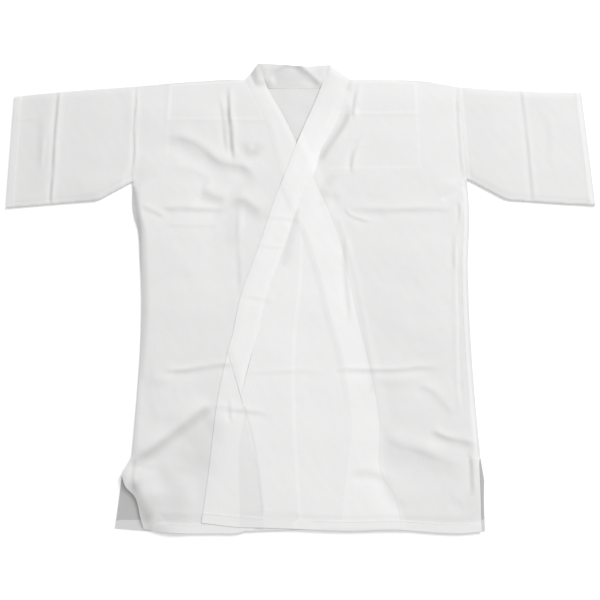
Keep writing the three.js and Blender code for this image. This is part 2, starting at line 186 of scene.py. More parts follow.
# %% Sleeves and shoulder lining
SLEEVE_FOLD_RIGHT = [(-329, 413), (-486, 399), (-574, 389)]
SLEEVE_UNDER_RIGHT = [(-561, 139), (-536, 141), (-387, 155), (-322, 196)]
SLEEVE_FOLD_LEFT = [(327, 411), (453, 402), (574, 398)]
SLEEVE_UNDER_LEFT = [(572, 144), (505, 148), (402, 156), (329, 201)]
LINING_RIGHT = -262
LINING_LEFT = 242
LINING_BACK = 223
LINING_FRONT_RIGHT = 333
LINING_FRONT_LEFT = 347
LINING_TOP_RIGHT = 417
LINING_TOP_LEFT = 423
LINING_FOLD_RIGHT = [(LINING_RIGHT, LINING_TOP_RIGHT), (-201, 422.7), (-135, 426.7), (-110, 425.7)]
LINING_FOLD_LEFT = [(LINING_LEFT, LINING_TOP_LEFT), (208, 425.7), (106, 426.7)]
LINING_INNER_RIGHT = -67
LINING_INNER_LEFT = 84
LINING_SEEN_FROM = 60
LINING_SEEN_ABOVE = 250
LINING_HEM = 7
print("lining width:", LINING_LEFT - LINING_RIGHT, "mm")

# %% [markdown]
# ## Lines and distances
# Nearly everything on cloth is a distance from some line: a crease, a hem, the edge of a layer that
# lies underneath. Numpy works these out for many thousands of points at once, which a plain
# Python loop could not do in reasonable time.


# %% Distance helpers
def smooth(start, end, value):
    """0 before start, 1 after end, and an easy curve between them."""
    part = np.clip((value - start) / (end - start), 0, 1)
    return part * part * (3 - 2 * part)


def beside_line(line, x, y):
    """How far each place is from a line, and whether it lies on the line's left."""
    nearest = np.full(np.shape(x), 1e9)
    on_left = np.zeros(np.shape(x), bool)
    for (ax, ay), (bx, by) in zip(line, line[1:]):
        dx = bx - ax
        dy = by - ay
        length = max(math.hypot(dx, dy), 1e-6)
        part = np.clip(((x - ax) * dx + (y - ay) * dy) / length**2, 0, 1)
        distance = np.hypot(x - ax - part * dx, y - ay - part * dy)
        closer = distance < nearest
        nearest = np.where(closer, distance, nearest)
        on_left = np.where(closer, dx * (y - ay) - dy * (x - ax) > 0, on_left)
    return nearest, on_left


def away_from(line, x, y):
    """How far each place is from a line."""
    return beside_line(line, x, y)[0]


def is_inside(outline, x, y):
    """True where a place lies inside a closed outline."""
    inside = np.zeros(np.shape(x), bool)
    for (ax, ay), (bx, by) in zip(outline, outline[1:] + outline[:1]):
        if ay != by:
            crosses = ((ay > y) != (by > y)) & (x < (bx - ax) * (y - ay) / (by - ay) + ax)
            inside ^= crosses
    return inside


def depth_in(outline, x, y):
    """How far each place lies inside an outline, negative outside it."""
    distance = away_from(outline + outline[:1], x, y)
    return np.where(is_inside(outline, x, y), distance, -distance)


def ripple(x, y, shortest, longest, seed, count=12):
    """Soft random waves, about 1 high, whose lengths lie between two sizes."""
    chance = random.Random(seed)
    total = np.zeros(np.shape(x))
    for _ in range(count):
        length = chance.uniform(shortest, longest)
        turn = chance.uniform(0, math.tau)
        start = chance.uniform(0, math.tau)
        across = x * math.cos(turn) + y * math.sin(turn)
        total = total + np.sin(math.tau * across / length + start)
    return total / math.sqrt(count)


print("smooth(0, 10, 5) =", float(smooth(0, 10, 5.0)))


# %% [markdown]
# Cut edges of real cloth never run dead straight between two measured points. A curve through the
# points, with its slope at each one averaged from both sides, gives that easy line. A Bezier
# curve object could do the same, but here the two layers of a seam must share exactly the same
# points, and a small function makes that certain.


# %% Easy curves through measured points
def moved(points, dx, dy):
    return [(px + dx, py + dy) for px, py in points]


CORNER_NEAR = 6
CORNER_FAR = 18


def crisp(points):
    """The same line with more points next to each corner, so that it stays straight between."""
    result = [points[0]]
    for before, corner, after in zip(points, points[1:], points[2:]):
        ways = (before, CORNER_FAR), (before, CORNER_NEAR), (after, CORNER_NEAR), (after, CORNER_FAR)
        for other, reach in ways:
            part = reach / max(math.dist(corner, other), 40)
            across = corner[0] + (other[0] - corner[0]) * part
            up = corner[1] + (other[1] - corner[1]) * part
            result.append((across, up))
    return [*result, points[-1]]


def straight(start, points):
    """The points after a new start, with the way to the first of them kept straight."""
    (ax, ay), (bx, by) = start, points[0]
    near_start, near_end = 0.12, 0.88
    parts = (near_start, 0.5, near_end)
    inner = [(ax + (bx - ax) * part, ay + (by - ay) * part) for part in parts]
    return [start, *inner, *points]


def column(rows, name):
    return [(getattr(row, name), row.y) for row in rows]


def split(points):
    """The x and the y of a line's points, as two arrays."""
    return np.array(points, float).T


LONG_STEP = 20
SHORT_STEP = 10
OUTLINE_STEP = 14
EDGE_STEP = 4


def flowing(points, step):
    """Points along an easy curve through the given ones, about one step apart."""
    if len(points) == 2:
        points = [points[0], tuple((a + b) / 2 for a, b in zip(*points)), points[1]]
    spots = [np.array(point, float) for point in points]
    gaps = [np.linalg.norm(b - a) for a, b in zip(spots, spots[1:])]
    chords = [(b - a) / gap for a, b, gap in zip(spots, spots[1:], gaps)]
    slopes = [chords[0]]
    for before, after, short, far in zip(gaps, gaps[1:], chords, chords[1:]):
        slopes.append((short * after + far * before) / (before + after))
    slopes.append(chords[-1])
    curve = [tuple(points[0])]
    for i, gap in enumerate(gaps):
        count = max(1, round(gap / step))
        for k in range(1, count + 1):
            t = k / count
            spot = (
                (2 * t**3 - 3 * t**2 + 1) * spots[i]
                + (t**3 - 2 * t**2 + t) * gap * slopes[i]
                + (3 * t**2 - 2 * t**3) * spots[i + 1]
                + (t**3 - t**2) * gap * slopes[i + 1]
            )
            curve.append((float(spot[0]), float(spot[1])))
    return curve


SIDE_RIGHT = column(SIDES, "right")
SIDE_LEFT = column(SIDES, "left")
print("points down one side:", len(flowing(SIDE_RIGHT, EDGE_STEP)))


# %% [markdown]
# ## Outlines of the pieces
# Each piece is a closed round of named edges. The names matter, because a front and a back that
# share an edge called "side" or "shoulder" are sewn or folded together there, while a hem stays
# open.


# %% Close a round of named edges
def bridge(points, names, end, step):
    """Go straight from the last point to just short of the next edge."""
    start = points[-1]
    gap = math.dist(start, end)
    if gap < 0.01:
        points.pop()
        names.pop()
        return
    count = max(1, round(gap / step))
    for k in range(1, count):
        part = k / count
        points.append((start[0] + (end[0] - start[0]) * part, start[1] + (end[1] - start[1]) * part))
        names.append(None)


def closed(*edges, step=EDGE_STEP):
    """Points round a piece, and the edge name of each stretch from one point to the next."""
    points = []
    names = []
    first = edges[0][1][0]
    for name, line in edges:
        curve = flowing(line, step)
        if points:
            bridge(points, names, curve[0], step)
        points += curve
        names += [name] * (len(curve) - 1) + [None]
    bridge(points, names, first, step)
    turning = sum(
        ax * by - bx * ay for (ax, ay), (bx, by) in zip(points, points[1:] + points[:1])
    )
    if turning < 0:
        points = points[::-1]
        names = names[-2::-1] + names[-1:]
    return points, names


def plain(*edges):
    """The same round as a coarse outline, for measuring distances."""
    return closed(*edges, step=OUTLINE_STEP)[0]


print("a square has", len(plain(("a", [(0, 0), (9, 0)]), ("b", [(9, 9), (0, 9)]))), "points")

# %% The edges of every piece
centre_back = [(CENTRE_BACK[0][0], BACK_NECK_Y), *CENTRE_BACK]

back_right = [
    ("side", SIDE_RIGHT[::-1]),
    ("shoulder", SHOULDER_RIGHT),
    ("neck", [SHOULDER_RIGHT[-1], (BACK_NECK_RIGHT, BACK_NECK_Y)]),
    ("centre", moved(centre_back, -GAP / 2, 0)),
    ("hem", BACK_HEM_RIGHT[::-1]),
    ("slit", BACK_SLIT_RIGHT[::-1]),
]
back_left = [
    ("side", SIDE_LEFT[::-1]),
    ("shoulder", SHOULDER_LEFT),
    ("neck", [SHOULDER_LEFT[-1], (BACK_NECK_LEFT, BACK_NECK_Y)]),
    ("centre", moved(centre_back, GAP / 2, 0)),
    ("slit", BACK_SLIT_LEFT[::-1]),
]
front_right = [
    ("side", SIDE_RIGHT[::-1]),
    ("shoulder", SHOULDER_RIGHT),
    ("collar", moved(column(COLLAR_RIGHT, "seam"), -GAP, 0)),
    ("strip", moved(column(STRIP_RIGHT, "seam"), -GAP, 0)),
    ("hem", FRONT_HEM_RIGHT[::-1]),
    ("slit", FRONT_SLIT_RIGHT[::-1]),
]
front_left = [
    ("side", SIDE_LEFT[::-1]),
    ("shoulder", SHOULDER_LEFT),
    ("collar", moved(column(COLLAR_LEFT, "seam"), GAP, 0)),
    ("strip", moved(column(STRIP_LEFT, "seam"), GAP, 0)),
    ("hem", FRONT_HEM_LEFT[::-1]),
    ("slit", FRONT_SLIT_LEFT[::-1]),
]
strip_right = [
    ("seam", column(STRIP_RIGHT, "seam")),
    ("edge", column(STRIP_RIGHT, "edge")[::-1]),
]
strip_left_end = (COLLAR_LEFT[-1].free, COLLAR_LEFT[-1].y - TIP_GAP)
strip_left = [
    ("seam", [(COLLAR_TIP[0] - TIP_GAP, COLLAR_TIP[1]), *column(STRIP_LEFT, "seam")[1:]]),
    ("hem", [column(STRIP_LEFT, "seam")[-1], *STRIP_LEFT_HEM]),
    ("edge", [*column(STRIP_LEFT, "edge")[:-1][::-1], strip_left_end]),
]
collar_right = [
    ("turn", [SHOULDER_RIGHT[-1], TURN_RIGHT]),
    ("free", straight(TURN_RIGHT, column(COLLAR_RIGHT, "free"))),
    ("seam", column(COLLAR_RIGHT, "seam")[::-1]),
]
collar_left = [
    ("turn", [SHOULDER_LEFT[-1], TURN_LEFT]),
    ("free", straight(TURN_LEFT, column(COLLAR_LEFT, "free"))),
    ("tip", [column(COLLAR_LEFT, "free")[-1], COLLAR_TIP]),
    ("seam", [COLLAR_TIP, *column(COLLAR_LEFT, "seam")[::-1]]),
]
neck_turn_right = (TURN_RIGHT[0] + GAP, TURN_RIGHT[1])
neck_turn_left = (TURN_LEFT[0] - GAP, TURN_LEFT[1])
neck_end_right = (COLLAR_RIGHT[0].free + GAP, NECK_SEAM_Y)
neck_end_left = (COLLAR_LEFT[0].free - GAP, NECK_SEAM_Y)
collar_neck = [
    ("top", [neck_turn_right, *NECK_TOP[-2:0:-1], neck_turn_left]),
    ("left", [neck_turn_left, neck_end_left]),
    ("seam", [neck_end_left, neck_end_right]),
]
print("named edges of the right front:", [name for name, _ in front_right])


# %% Sleeves and lining
def sleeve_edges(fold, under, outwards):
    inner_top = (fold[0][0] + outwards * GAP, fold[0][1])
    inner_low = (under[-1][0] + outwards * GAP, under[-1][1])
    return [
        ("fold", [inner_top, *fold[1:]]),
        ("cuff", [fold[-1], under[0]]),
        ("under", crisp([*under[:-1], inner_low])),
        ("armhole", [inner_low, inner_top]),
    ]


sleeve_right = sleeve_edges(SLEEVE_FOLD_RIGHT, SLEEVE_UNDER_RIGHT, -1)
sleeve_left = sleeve_edges(SLEEVE_FOLD_LEFT, SLEEVE_UNDER_LEFT, 1)

lining_back = [
    ("fold right", LINING_FOLD_RIGHT),
    ("neck", [(BACK_NECK_RIGHT, BACK_NECK_Y - GAP), (BACK_NECK_LEFT, BACK_NECK_Y - GAP)]),
    ("fold left", LINING_FOLD_LEFT[::-1]),
    ("edge", [(LINING_LEFT, LINING_TOP_LEFT), (LINING_LEFT, LINING_BACK)]),
    ("hem", [(LINING_LEFT, LINING_BACK), (-8, LINING_BACK - 2), (LINING_RIGHT, LINING_BACK)]),
    ("edge", [(LINING_RIGHT, LINING_BACK), (LINING_RIGHT, LINING_TOP_RIGHT)]),
]
lining_front_right = [
    ("edge", [(LINING_RIGHT, LINING_FRONT_RIGHT), (LINING_RIGHT, LINING_TOP_RIGHT)]),
    ("fold right", LINING_FOLD_RIGHT),
    ("collar", column(COLLAR_RIGHT, "seam")[:2]),
    ("hem", [(LINING_INNER_RIGHT, LINING_FRONT_RIGHT), (LINING_RIGHT, LINING_FRONT_RIGHT)]),
]
lining_front_left = [
    ("edge", [(LINING_LEFT, LINING_FRONT_LEFT), (LINING_LEFT, LINING_TOP_LEFT)]),
    ("fold left", LINING_FOLD_LEFT),
    ("collar", column(COLLAR_LEFT, "seam")[:2]),
    ("hem", [(LINING_INNER_LEFT, LINING_FRONT_LEFT), (LINING_LEFT, LINING_FRONT_LEFT)]),
]
print("sleeve edges:", [name for name, _ in sleeve_right])

# %% The whole garment seen from above
garment = plain(
    ("under", crisp(SLEEVE_UNDER_RIGHT)),
    ("side", SIDE_RIGHT),
    ("slit", BACK_SLIT_RIGHT),
    ("hem", [FRONT_SLIT_RIGHT[-1], *FRONT_HEM_RIGHT]),
    ("hem", FRONT_HEM_LEFT[::-1]),
    ("slit", BACK_SLIT_LEFT[::-1]),
    ("side", SIDE_LEFT[::-1]),
    ("under", crisp(SLEEVE_UNDER_LEFT)[::-1]),
    ("fold", SLEEVE_FOLD_LEFT[::-1]),
    ("shoulder", SHOULDER_LEFT),
    ("neck", NECK_TOP),
    ("shoulder", SHOULDER_RIGHT[::-1]),
    ("fold", SLEEVE_FOLD_RIGHT),
)
outline_lining_back = plain(*lining_back)
outline_lining_right = plain(*lining_front_right)
outline_lining_left = plain(*lining_front_left)
outline_front_right = plain(*front_right)
outline_strip_right = plain(*strip_right)
outline_collar_right = plain(*collar_right)
outline_collar_left = plain(*collar_left)
print("points round the garment:", len(garment))

# %% [markdown]
# ## Creases
# This gauze was folded for its packet, so it keeps long sharp packing folds in both directions, and
# softer troughs where it was pulled into place. Each is laid in a table: how high it stands, how
# far it reaches to the left and to the right of its line, and the places that it runs through. Most
# are shaped like a wall, with a rise on the left of the line's direction and a dip on the right, so
# that one flank catches the light and the other doesn't. A round one is a broad swell, and a sharp
# one has a ridge. Cloth simulation makes such drapes by chance, and here they have to lie where the
# real ones do.

# %% The crease table
Crease = namedtuple("Crease", "height left right line shape", defaults=["wall"])
PACKING_FOLDS = [
    Crease(4.6, 6, 6, [
        (-140, 420), (-141, 393), (-138, 346), (-133, 300), (-129, 255), (-126, 231),
    ]),
    Crease(2.0, 5, 6, [(-159, 386), (-154, 358), (-149, 330), (-145, 289), (-140, 248)]),
    Crease(1.4, 6, 8, [(-116, 150), (-116, 124), (-116, 82), (-111, 27), (-107, -49)]),
    Crease(3.2, 6, 5, [(124, 420), (118, 401), (114, 379), (111, 353), (109, 330)]),
    Crease(2.6, 7, 6, [(127, 289), (116, 273), (108, 253), (104, 231), (103, 208)]),
    Crease(2.0, 7, 8, [(91, 90), (88, 51), (88, 6), (92, -49), (93, -108)]),
    Crease(3.0, 10, 13, [(-268, 134), (-208, 133), (-154, 133), (-133, 131)]),
    Crease(1.3, 7, 8, [(-303, 140), (-281, 129), (-253, 115)]),
    Crease(0.8, 6, 8, [(-256, 99), (-206, 98), (-143, 97)]),
    Crease(1.5, 4, 7, [(87, 143), (94, 126), (111, 116), (143, 107)]),
    Crease(2.1, 9, 12, [(88, 133), (157, 132), (203, 133), (244, 134), (303, 133)]),
    Crease(2.6, 6, 9, [(-246, -187), (-197, -185), (-169, -180), (-137, -176), (-108, -173)]),
    Crease(0.8, 5, 9, [(-97, -192), (-65, -190), (-14, -188), (50, -188)]),
    Crease(2.1, 6, 9, [
        (57, -187), (97, -185), (131, -186), (172, -185), (194, -183), (215, -180), (240, -181),
        (268, -176),
    ]),
    Crease(3.4, 5, 5, [(-488, 460), (-482, 280), (-473, 80)]),
    Crease(1.4, 12, 12, [(-515, 340), (-508, 222)]),
    Crease(2.2, 5, 5, [(452, 460), (454, 280), (451, 95)]),
    Crease(0.9, 12, 12, [(500, 350), (493, 222)]),
]
PULLED_CREASES = [
    Crease(5.2, 17, 26, [
        (-275, 295), (-243, 288), (-215, 278), (-188, 260), (-162, 237), (-138, 227), (-114, 225),
        (-96, 211), (-84, 195), (-76, 178),
    ]),
    Crease(1.2, 12, 18, [(-261, 220), (-228, 220), (-205, 214), (-178, 200), (-164, 182)]),
    Crease(4.3, 18, 24, [(-192, 175), (-180, 167), (-163, 158), (-136, 152)]),
    Crease(3.8, 17, 24, [(-128, 156), (-106, 149), (-87, 135), (-69, 123)]),
    Crease(1.4, 12, 16, [(-107, 269), (-95, 260), (-75, 257)]),
    Crease(4.6, 9, 14, [(112, 366), (96, 333), (83, 307), (69, 284), (55, 264), (41, 237)]),
    Crease(1.6, 18, 20, [(38, 178), (58, 165), (85, 156)]),
    Crease(8.5, 15, 34, [
        (-284, -352), (-273, -343), (-251, -330), (-231, -314), (-215, -300), (-196, -286),
        (-178, -270), (-162, -258), (-143, -252),
    ]),
    Crease(0.8, 6, 10, [(-274, -355), (-255, -355), (-234, -354)]),
    Crease(1.3, 20, 20, [(-264, -205), (-235, -207), (-218, -198)]),
    Crease(3.2, 9, 16, [
        (227, -295), (243, -301), (258, -308), (278, -313), (299, -318), (311, -322),
    ]),
    Crease(5.0, 22, 44, [
        (143, -305), (153, -312), (170, -322), (191, -328), (208, -333), (228, -342), (252, -350),
        (286, -359),
    ]),
    Crease(2.4, 13, 14, [
        (83, -367), (117, -366), (137, -371), (149, -379), (157, -393), (165, -408), (175, -419),
        (197, -416),
    ]),
    Crease(1.4, 16, 18, [(128, -201), (153, -209), (189, -209), (232, -203)]),
    Crease(1.7, 10, 14, [(207, -212), (234, -223), (253, -243), (266, -258), (272, -274)]),
    Crease(2.2, 4, 5, [(298, -330), (298, -361), (297, -401)]),
    Crease(0.9, 12, 12, [(258, -414), (270, -414), (282, -419)]),
    Crease(-1.6, 4, 4, [(301, 88), (294, -30), (290, -127), (286, -223), (287, -281)]),
    Crease(1.4, 5, 6, [(299, 88), (295, 61), (290, 6)]),
    Crease(2.0, 4, 4, [(310, 152), (310, 131), (306, 105)]),
    Crease(1.0, 12, 16, [(267, 167), (287, 178), (319, 198)]),
    Crease(2.6, 4, 4, [(-331, 470), (-328, 382), (-327, 335), (-324, 266), (-323, 140)]),
    Crease(1.7, 4, 4, [(329, 455), (321, 358), (319, 312), (319, 266), (324, 170)]),
    Crease(2.3, 5, 5, [(-279, -337), (-282, -357), (-282, -378), (-274, -404)]),
    Crease(1.6, 4, 4, [(-121, -234), (-120, -258), (-117, -281)]),
    Crease(0.8, 5, 7, [(-127, -258), (-93, -260), (-55, -263)]),
    Crease(0.7, 6, 8, [(-72, 119), (12, 108)]),
    Crease(0.6, 6, 8, [(-82, 58), (-17, 50)]),
    Crease(0.6, 6, 8, [(-104, -44), (-44, -54)]),
    Crease(1.0, 8, 10, [(-165, -249), (-40, -267)]),
    Crease(1.2, 8, 8, [(270, 158), (293, 176), (317, 195)]),
    Crease(-1.0, 5, 5, [(-501, 307), (-501, 266), (-500, 217)]),
    Crease(0.8, 5, 5, [(-559, 326), (-540, 330), (-519, 344)]),
]
BROAD_FOLDS = [
    Crease(6.0, 52, 52, [(-228, -470), (-214, -410)], "round"),
    Crease(3.4, 34, 44, [(-250, -431), (-163, -326)]),
    Crease(2.0, 26, 30, [(-265, -187), (-256, -282)]),
    Crease(1.4, 70, 70, [(-215, -330), (-180, -300)], "round"),
    Crease(1.2, 80, 80, [(-210, 60), (-200, -60)], "round"),
    Crease(1.0, 80, 80, [(225, 40), (215, -90)], "round"),
    Crease(1.2, 60, 60, [(-290, 330), (-190, 325)], "round"),
    Crease(1.2, 60, 60, [(205, -250), (292, -270)], "round"),
    Crease(0.8, 60, 60, [(-405, 360), (-395, 200)], "round"),
    Crease(0.8, 60, 60, [(395, 350), (395, 210)], "round"),
]
CREASES = BROAD_FOLDS + PACKING_FOLDS + PULLED_CREASES
print("creases:", len(PACKING_FOLDS), "packed,", len(PULLED_CREASES), "pulled")


# %% Height of one crease
WALL_REACH = 3.5
SWELL_REACH = 1.4
TAPER_START = 0.2
TAPER_END = 0.22
WANDER = 0.5
WANDER_WAVES = (60, 140)
UNEVEN_WIDTH = 0.1
WIDTH_WAVES = (50, 110)
UNEVEN_HEIGHT = 0.18
HEIGHT_WAVES = (40, 100)
CREASE_SEED = 100
SEED_STEP = 10


def crease_height(crease, x, y, seed):
    """A tapered ridge, swell or wall along a curve, uneven in height and width."""
    height = np.zeros(np.shape(x))
    xs, ys = split(crease.line)
    reach = (WALL_REACH if crease.shape == "wall" else SWELL_REACH) * max(crease.left, crease.right)
    near = (x > min(xs) - reach) & (x < max(xs) + reach)
    near &= (y > min(ys) - reach) & (y < max(ys) + reach)
    if not near.any():
        return height
    px = x[near]
    py = y[near]
    wander = WANDER * ripple(px, py, *WANDER_WAVES, seed)
    away, on_left = beside_line(flowing(crease.line, SHORT_STEP), px + wander, py - wander)
    (ax, ay), (bx, by) = crease.line[0], crease.line[-1]
    span = (bx - ax) ** 2 + (by - ay) ** 2
    along = ((px - ax) * (bx - ax) + (py - ay) * (by - ay)) / span
    width = np.where(on_left, crease.left, crease.right)
    width = width * (1 + UNEVEN_WIDTH * ripple(px, py, *WIDTH_WAVES, seed + 1))
    part = away / width
    if crease.shape == "wall":
        side = np.where(on_left, 1, -1)
        fade = (1 - np.clip(part / WALL_REACH, 0, 1) ** 2) ** 2
        shape = side * part / (1 + part**2) ** 1.5 * fade
    elif crease.shape == "sharp":
        shape = (1 - np.clip(part, 0, 1)) ** 2
    else:
        shape = (1 - np.clip(part, 0, 1) ** 2) ** 2
    taper = 1.0
    if crease.shape != "round":
        taper = smooth(0, TAPER_START, along) * smooth(0, TAPER_END, 1 - along)
    uneven = 1 + UNEVEN_HEIGHT * ripple(px, py, *HEIGHT_WAVES, seed + 2)
    height[near] = crease.height * shape * taper * uneven
    return height


print("strongest crease:", max(crease.height for crease in CREASES), "mm")

# %% [markdown]
# ## How high the upper cloth lies
# The fronts lie on the back, on the lining and on each other. Where one layer ends below, the next
# comes down within a few millimetres, and that little step is what shows its edge through the
# cloth. All upper layers share one relief, so they never cross.

# %% Curls at the slits
Curl = namedtuple("Curl", "x y height radius")
CURLS = [
    Curl(-302, -374, 3.4, 30),
    Curl(-280, -404, 1.6, 26),
    Curl(311, -410, 1.4, 46),
]
print("curls:", len(CURLS))

# %% [markdown]
# Loose cloth stands a little off what lies under it, and comes down to the table at its edges. The
# ease is how far in from an edge that takes: a centimetre at a sewn side, several at an open hem or
# neck. The lift is the share of the height that is left at the very edge. High up the right side the
# cloth also rolls up over its seam. The back gets a smaller share of the same height, because the
# front's weight flattens it.

# %% How the cloth comes down at its edges
PUFF = 2.2
SIDE_EASE = 11
OPEN_EASE = 60
OPEN_LIFT = 0.3
SLEEVE_EASE = 18
SLEEVE_LIFT = 0.3
HEM_EASE = 14
ROLL_EASE = 5
SIDE_ROLL = [(-306, 122), (-300, 50), (-288, -50)]
ROLL_RISE = 4.0
ROLL_NEAR = 10
ROLL_FAR = 190
WAVE_RISE = 0.26
WAVES = (80, 160, 3)
SMALL_RISE = 0.04
SMALL_WAVES = (18, 34, 4)
FLAT_REST = 0.3
STEP_START = 0.4
STEP_DOWN = 9
SHOULDER_Y = 405
LOWER_SHARE = 0.35
LOWER_FREE = 0.9
print("loose cloth stands", PUFF, "mm off what lies under it")

# %% [markdown]
# None of these changes is sudden on real cloth, so each has a stretch in which it comes in. Most are
# measured along the length of the garment, those of the sleeve and the neck also across it.

# %% Where one thing passes into another
Fade = namedtuple("Fade", "start end")
HEM_FADE = Fade(-462, -420)
RIGHT_SIDE_FADE = Fade(200, 250)
UNDERARM_FADE = Fade(170, 205)
LOW_FRONT_FADE = Fade(385, 420)
SLEEVE_FADE = Fade(326, 344)
LINING_FADE = Fade(-70, 20)
BAND_FADE = Fade(-285, -180)
NECK_FADE = Fade(404, 474)
NECK_RIGHT_FADE = Fade(48, 104)
NECK_LEFT_FADE = Fade(0, 60)
NECK_FAR_LEFT_FADE = Fade(50, 110)
NECK_CREASE_FADE = Fade(396, 425)
NECK_MEET_FADE = Fade(404, 428)
print("the body passes into the sleeve from x =", SLEEVE_FADE.start, "to", SLEEVE_FADE.end)


# %% Relief and layers
def relief(x, y):
    """Height of the upper cloth above the flat stack under it."""
    roll = 1 - smooth(ROLL_NEAR, ROLL_FAR, away_from(SIDE_ROLL, x, y))
    at_side = np.maximum(smooth(*HEM_FADE, y), smooth(*RIGHT_SIDE_FADE, -x))
    at_side = at_side * (1 - smooth(*UNDERARM_FADE, y))
    reach = OPEN_EASE + (SIDE_EASE - OPEN_EASE) * at_side + ROLL_EASE * roll
    reach = reach + HEM_EASE * smooth(*LOW_FRONT_FADE, -y) * (x < 0)
    least = OPEN_LIFT * (1 - at_side)
    on_sleeve = smooth(*SLEEVE_FADE, np.abs(x))
    least = least + (SLEEVE_LIFT - least) * on_sleeve
    reach = reach + (SLEEVE_EASE - reach) * on_sleeve
    inward = np.clip(depth_in(garment, x, y) / reach, 0, 1)
    ease = least + (1 - least) * np.sin(0.5 * math.pi * inward)
    height = PUFF + WAVE_RISE * ripple(x, y, *WAVES) + SMALL_RISE * ripple(x, y, *SMALL_WAVES)
    height = height + ROLL_RISE * roll
    for i, crease in enumerate(CREASES):
        height = height + crease_height(crease, x, y, CREASE_SEED + SEED_STEP * i)
    height = 0.5 * (height + np.sqrt(height**2 + FLAT_REST))
    curl = np.zeros(np.shape(x))
    for spot in CURLS:
        reach = np.hypot(x - spot.x, y - spot.y)
        curl = curl + spot.height * (1 - smooth(0, spot.radius, reach))
    return ease * height + curl


def back_relief(x, y):
    """The lower cloth takes a share of the same folds, as both were packed together."""
    return LOWER_SHARE * np.maximum(relief(x, y) - LOWER_FREE, 0)


def covers(outline, x, y, reach=STEP_DOWN):
    """1 over a lower piece, and 0 a few millimetres past its edge."""
    return 1 - smooth(STEP_START, reach, -depth_in(outline, x, y))


LINING_STEP = 0.45 * LAYER
BAND_SLOPE = 24


def on_back(x, y):
    """Underside of the right front: on the back cloth, and over the lining where that lies."""
    to_fold = np.minimum(y, SHOULDER_Y)
    linings = covers(outline_lining_right, x, to_fold)
    linings = np.maximum(linings, covers(outline_lining_left, x, to_fold))
    below = smooth(*LINING_FADE, depth_in(outline_lining_back, x, to_fold))
    return LAYER + LAYER * below + LINING_STEP * linings + relief(x, y)


def band_layer(y):
    """The lower collar thins out towards its end, where it meets the overlap strip."""
    return LAYER + (BAND_LAYER - LAYER) * smooth(*BAND_FADE, y)


def on_right_front(x, y):
    """Underside of the left front: also over the right front with its strip and its collar."""
    under = LAYER * covers(outline_front_right, x, y)
    under = np.maximum(under, LAYER * covers(outline_strip_right, x, y))
    band = band_layer(y) * covers(outline_collar_right, x, y, BAND_SLOPE)
    return on_back(x, y) + np.maximum(under, band)


spot = (np.array([200.0]), np.array([0.0]))
print("left front lies", round(float(on_right_front(*spot)[0]), 2), "mm up")

# %% [markdown]
# The neck is the only place that stands up. The doubled band is stiff there, so it springs off the
# table along its free edge, and it dips in a crease where it turns down to each front. Its rise is
# a function of its own, because only the three stretches of the collar use it.

# %% The neck
NECK_RISE = 13
NECK_MIDDLE = -8
NECK_SEED = 700
NECK_CREASES = [
    Crease(6.2, 17, 14, [(-104, 478), (-95, 449), (-86, 405)]),
    Crease(2.6, 6, 8, [
        (-58, 424), (-48, 440), (-36, 450), (-21, 455), (-3, 456), (10, 451),
    ]),
    Crease(3.3, 8, 15, [(-17, 461), (1, 453), (12, 444), (26, 432), (48, 408)]),
    Crease(1.6, 5, 5, [(64, 473), (62, 453), (57, 434)]),
]


def neck_rise(x, y):
    """The collar behind the neck lies back, with its free edge off the table."""
    back = smooth(*NECK_FADE, y)
    right = smooth(*NECK_RIGHT_FADE, NECK_MIDDLE - x)
    left = 0.6 * smooth(*NECK_LEFT_FADE, x) + 0.4 * smooth(*NECK_FAR_LEFT_FADE, x)
    rise = NECK_RISE * back * (1 - np.where(x < NECK_MIDDLE, right, left))
    shown = smooth(*NECK_CREASE_FADE, y)
    for i, crease in enumerate(NECK_CREASES):
        rise = rise + crease_height(crease, x, y, NECK_SEED + SEED_STEP * i) * shown
    return np.maximum(rise, 0)


print("creases at the neck:", len(NECK_CREASES))

# %% [markdown]
# ## From an outline to cloth
# A sheet could be a grid that is cut, or a filled curve. Here each piece is triangulated from its own
# edge points, the lines that show through it, and an even field of points between them. The
# result gets an upper and a lower side, and every open edge is closed, so the cloth has real
# thickness. Lines inside the sheet keep its tones crisp.

# %% Triangulate one sheet
Sheet = namedtuple("Sheet", "edges lines spacing low thick tone")
ROW_PITCH = 0.866
EDGE_CLEAR = 0.6
LINE_CLEAR = 0.4


def field_of_points(outline, lines, spacing):
    xs, ys = split(outline)
    columns = np.arange(min(xs), max(xs), spacing)
    rows = np.arange(min(ys), max(ys), spacing * ROW_PITCH)
    x, y = np.meshgrid(columns, rows)
    x = x + (np.arange(len(rows)) % 2)[:, None] * spacing / 2
    x = x.ravel()
    y = y.ravel()
    keep = depth_in(outline, x, y) > spacing * EDGE_CLEAR
    for line in lines:
        keep &= away_from(line, x, y) > spacing * LINE_CLEAR
    return list(zip(x[keep], y[keep]))


def inner_stretches(outline, lines, spacing):
    """The parts of the inner lines that lie clear of the edge."""
    stretches = []
    for line in lines:
        curve = flowing(line, spacing)
        xs, ys = split(curve)
        clear = depth_in(outline, xs, ys) > spacing * EDGE_CLEAR
        stretch = []
        for point, is_clear in zip(curve, clear):
            if is_clear:
                stretch.append(point)
            if not is_clear or point is curve[-1]:
                if len(stretch) > 1:
                    stretches.append(stretch)
                stretch = []
    return stretches


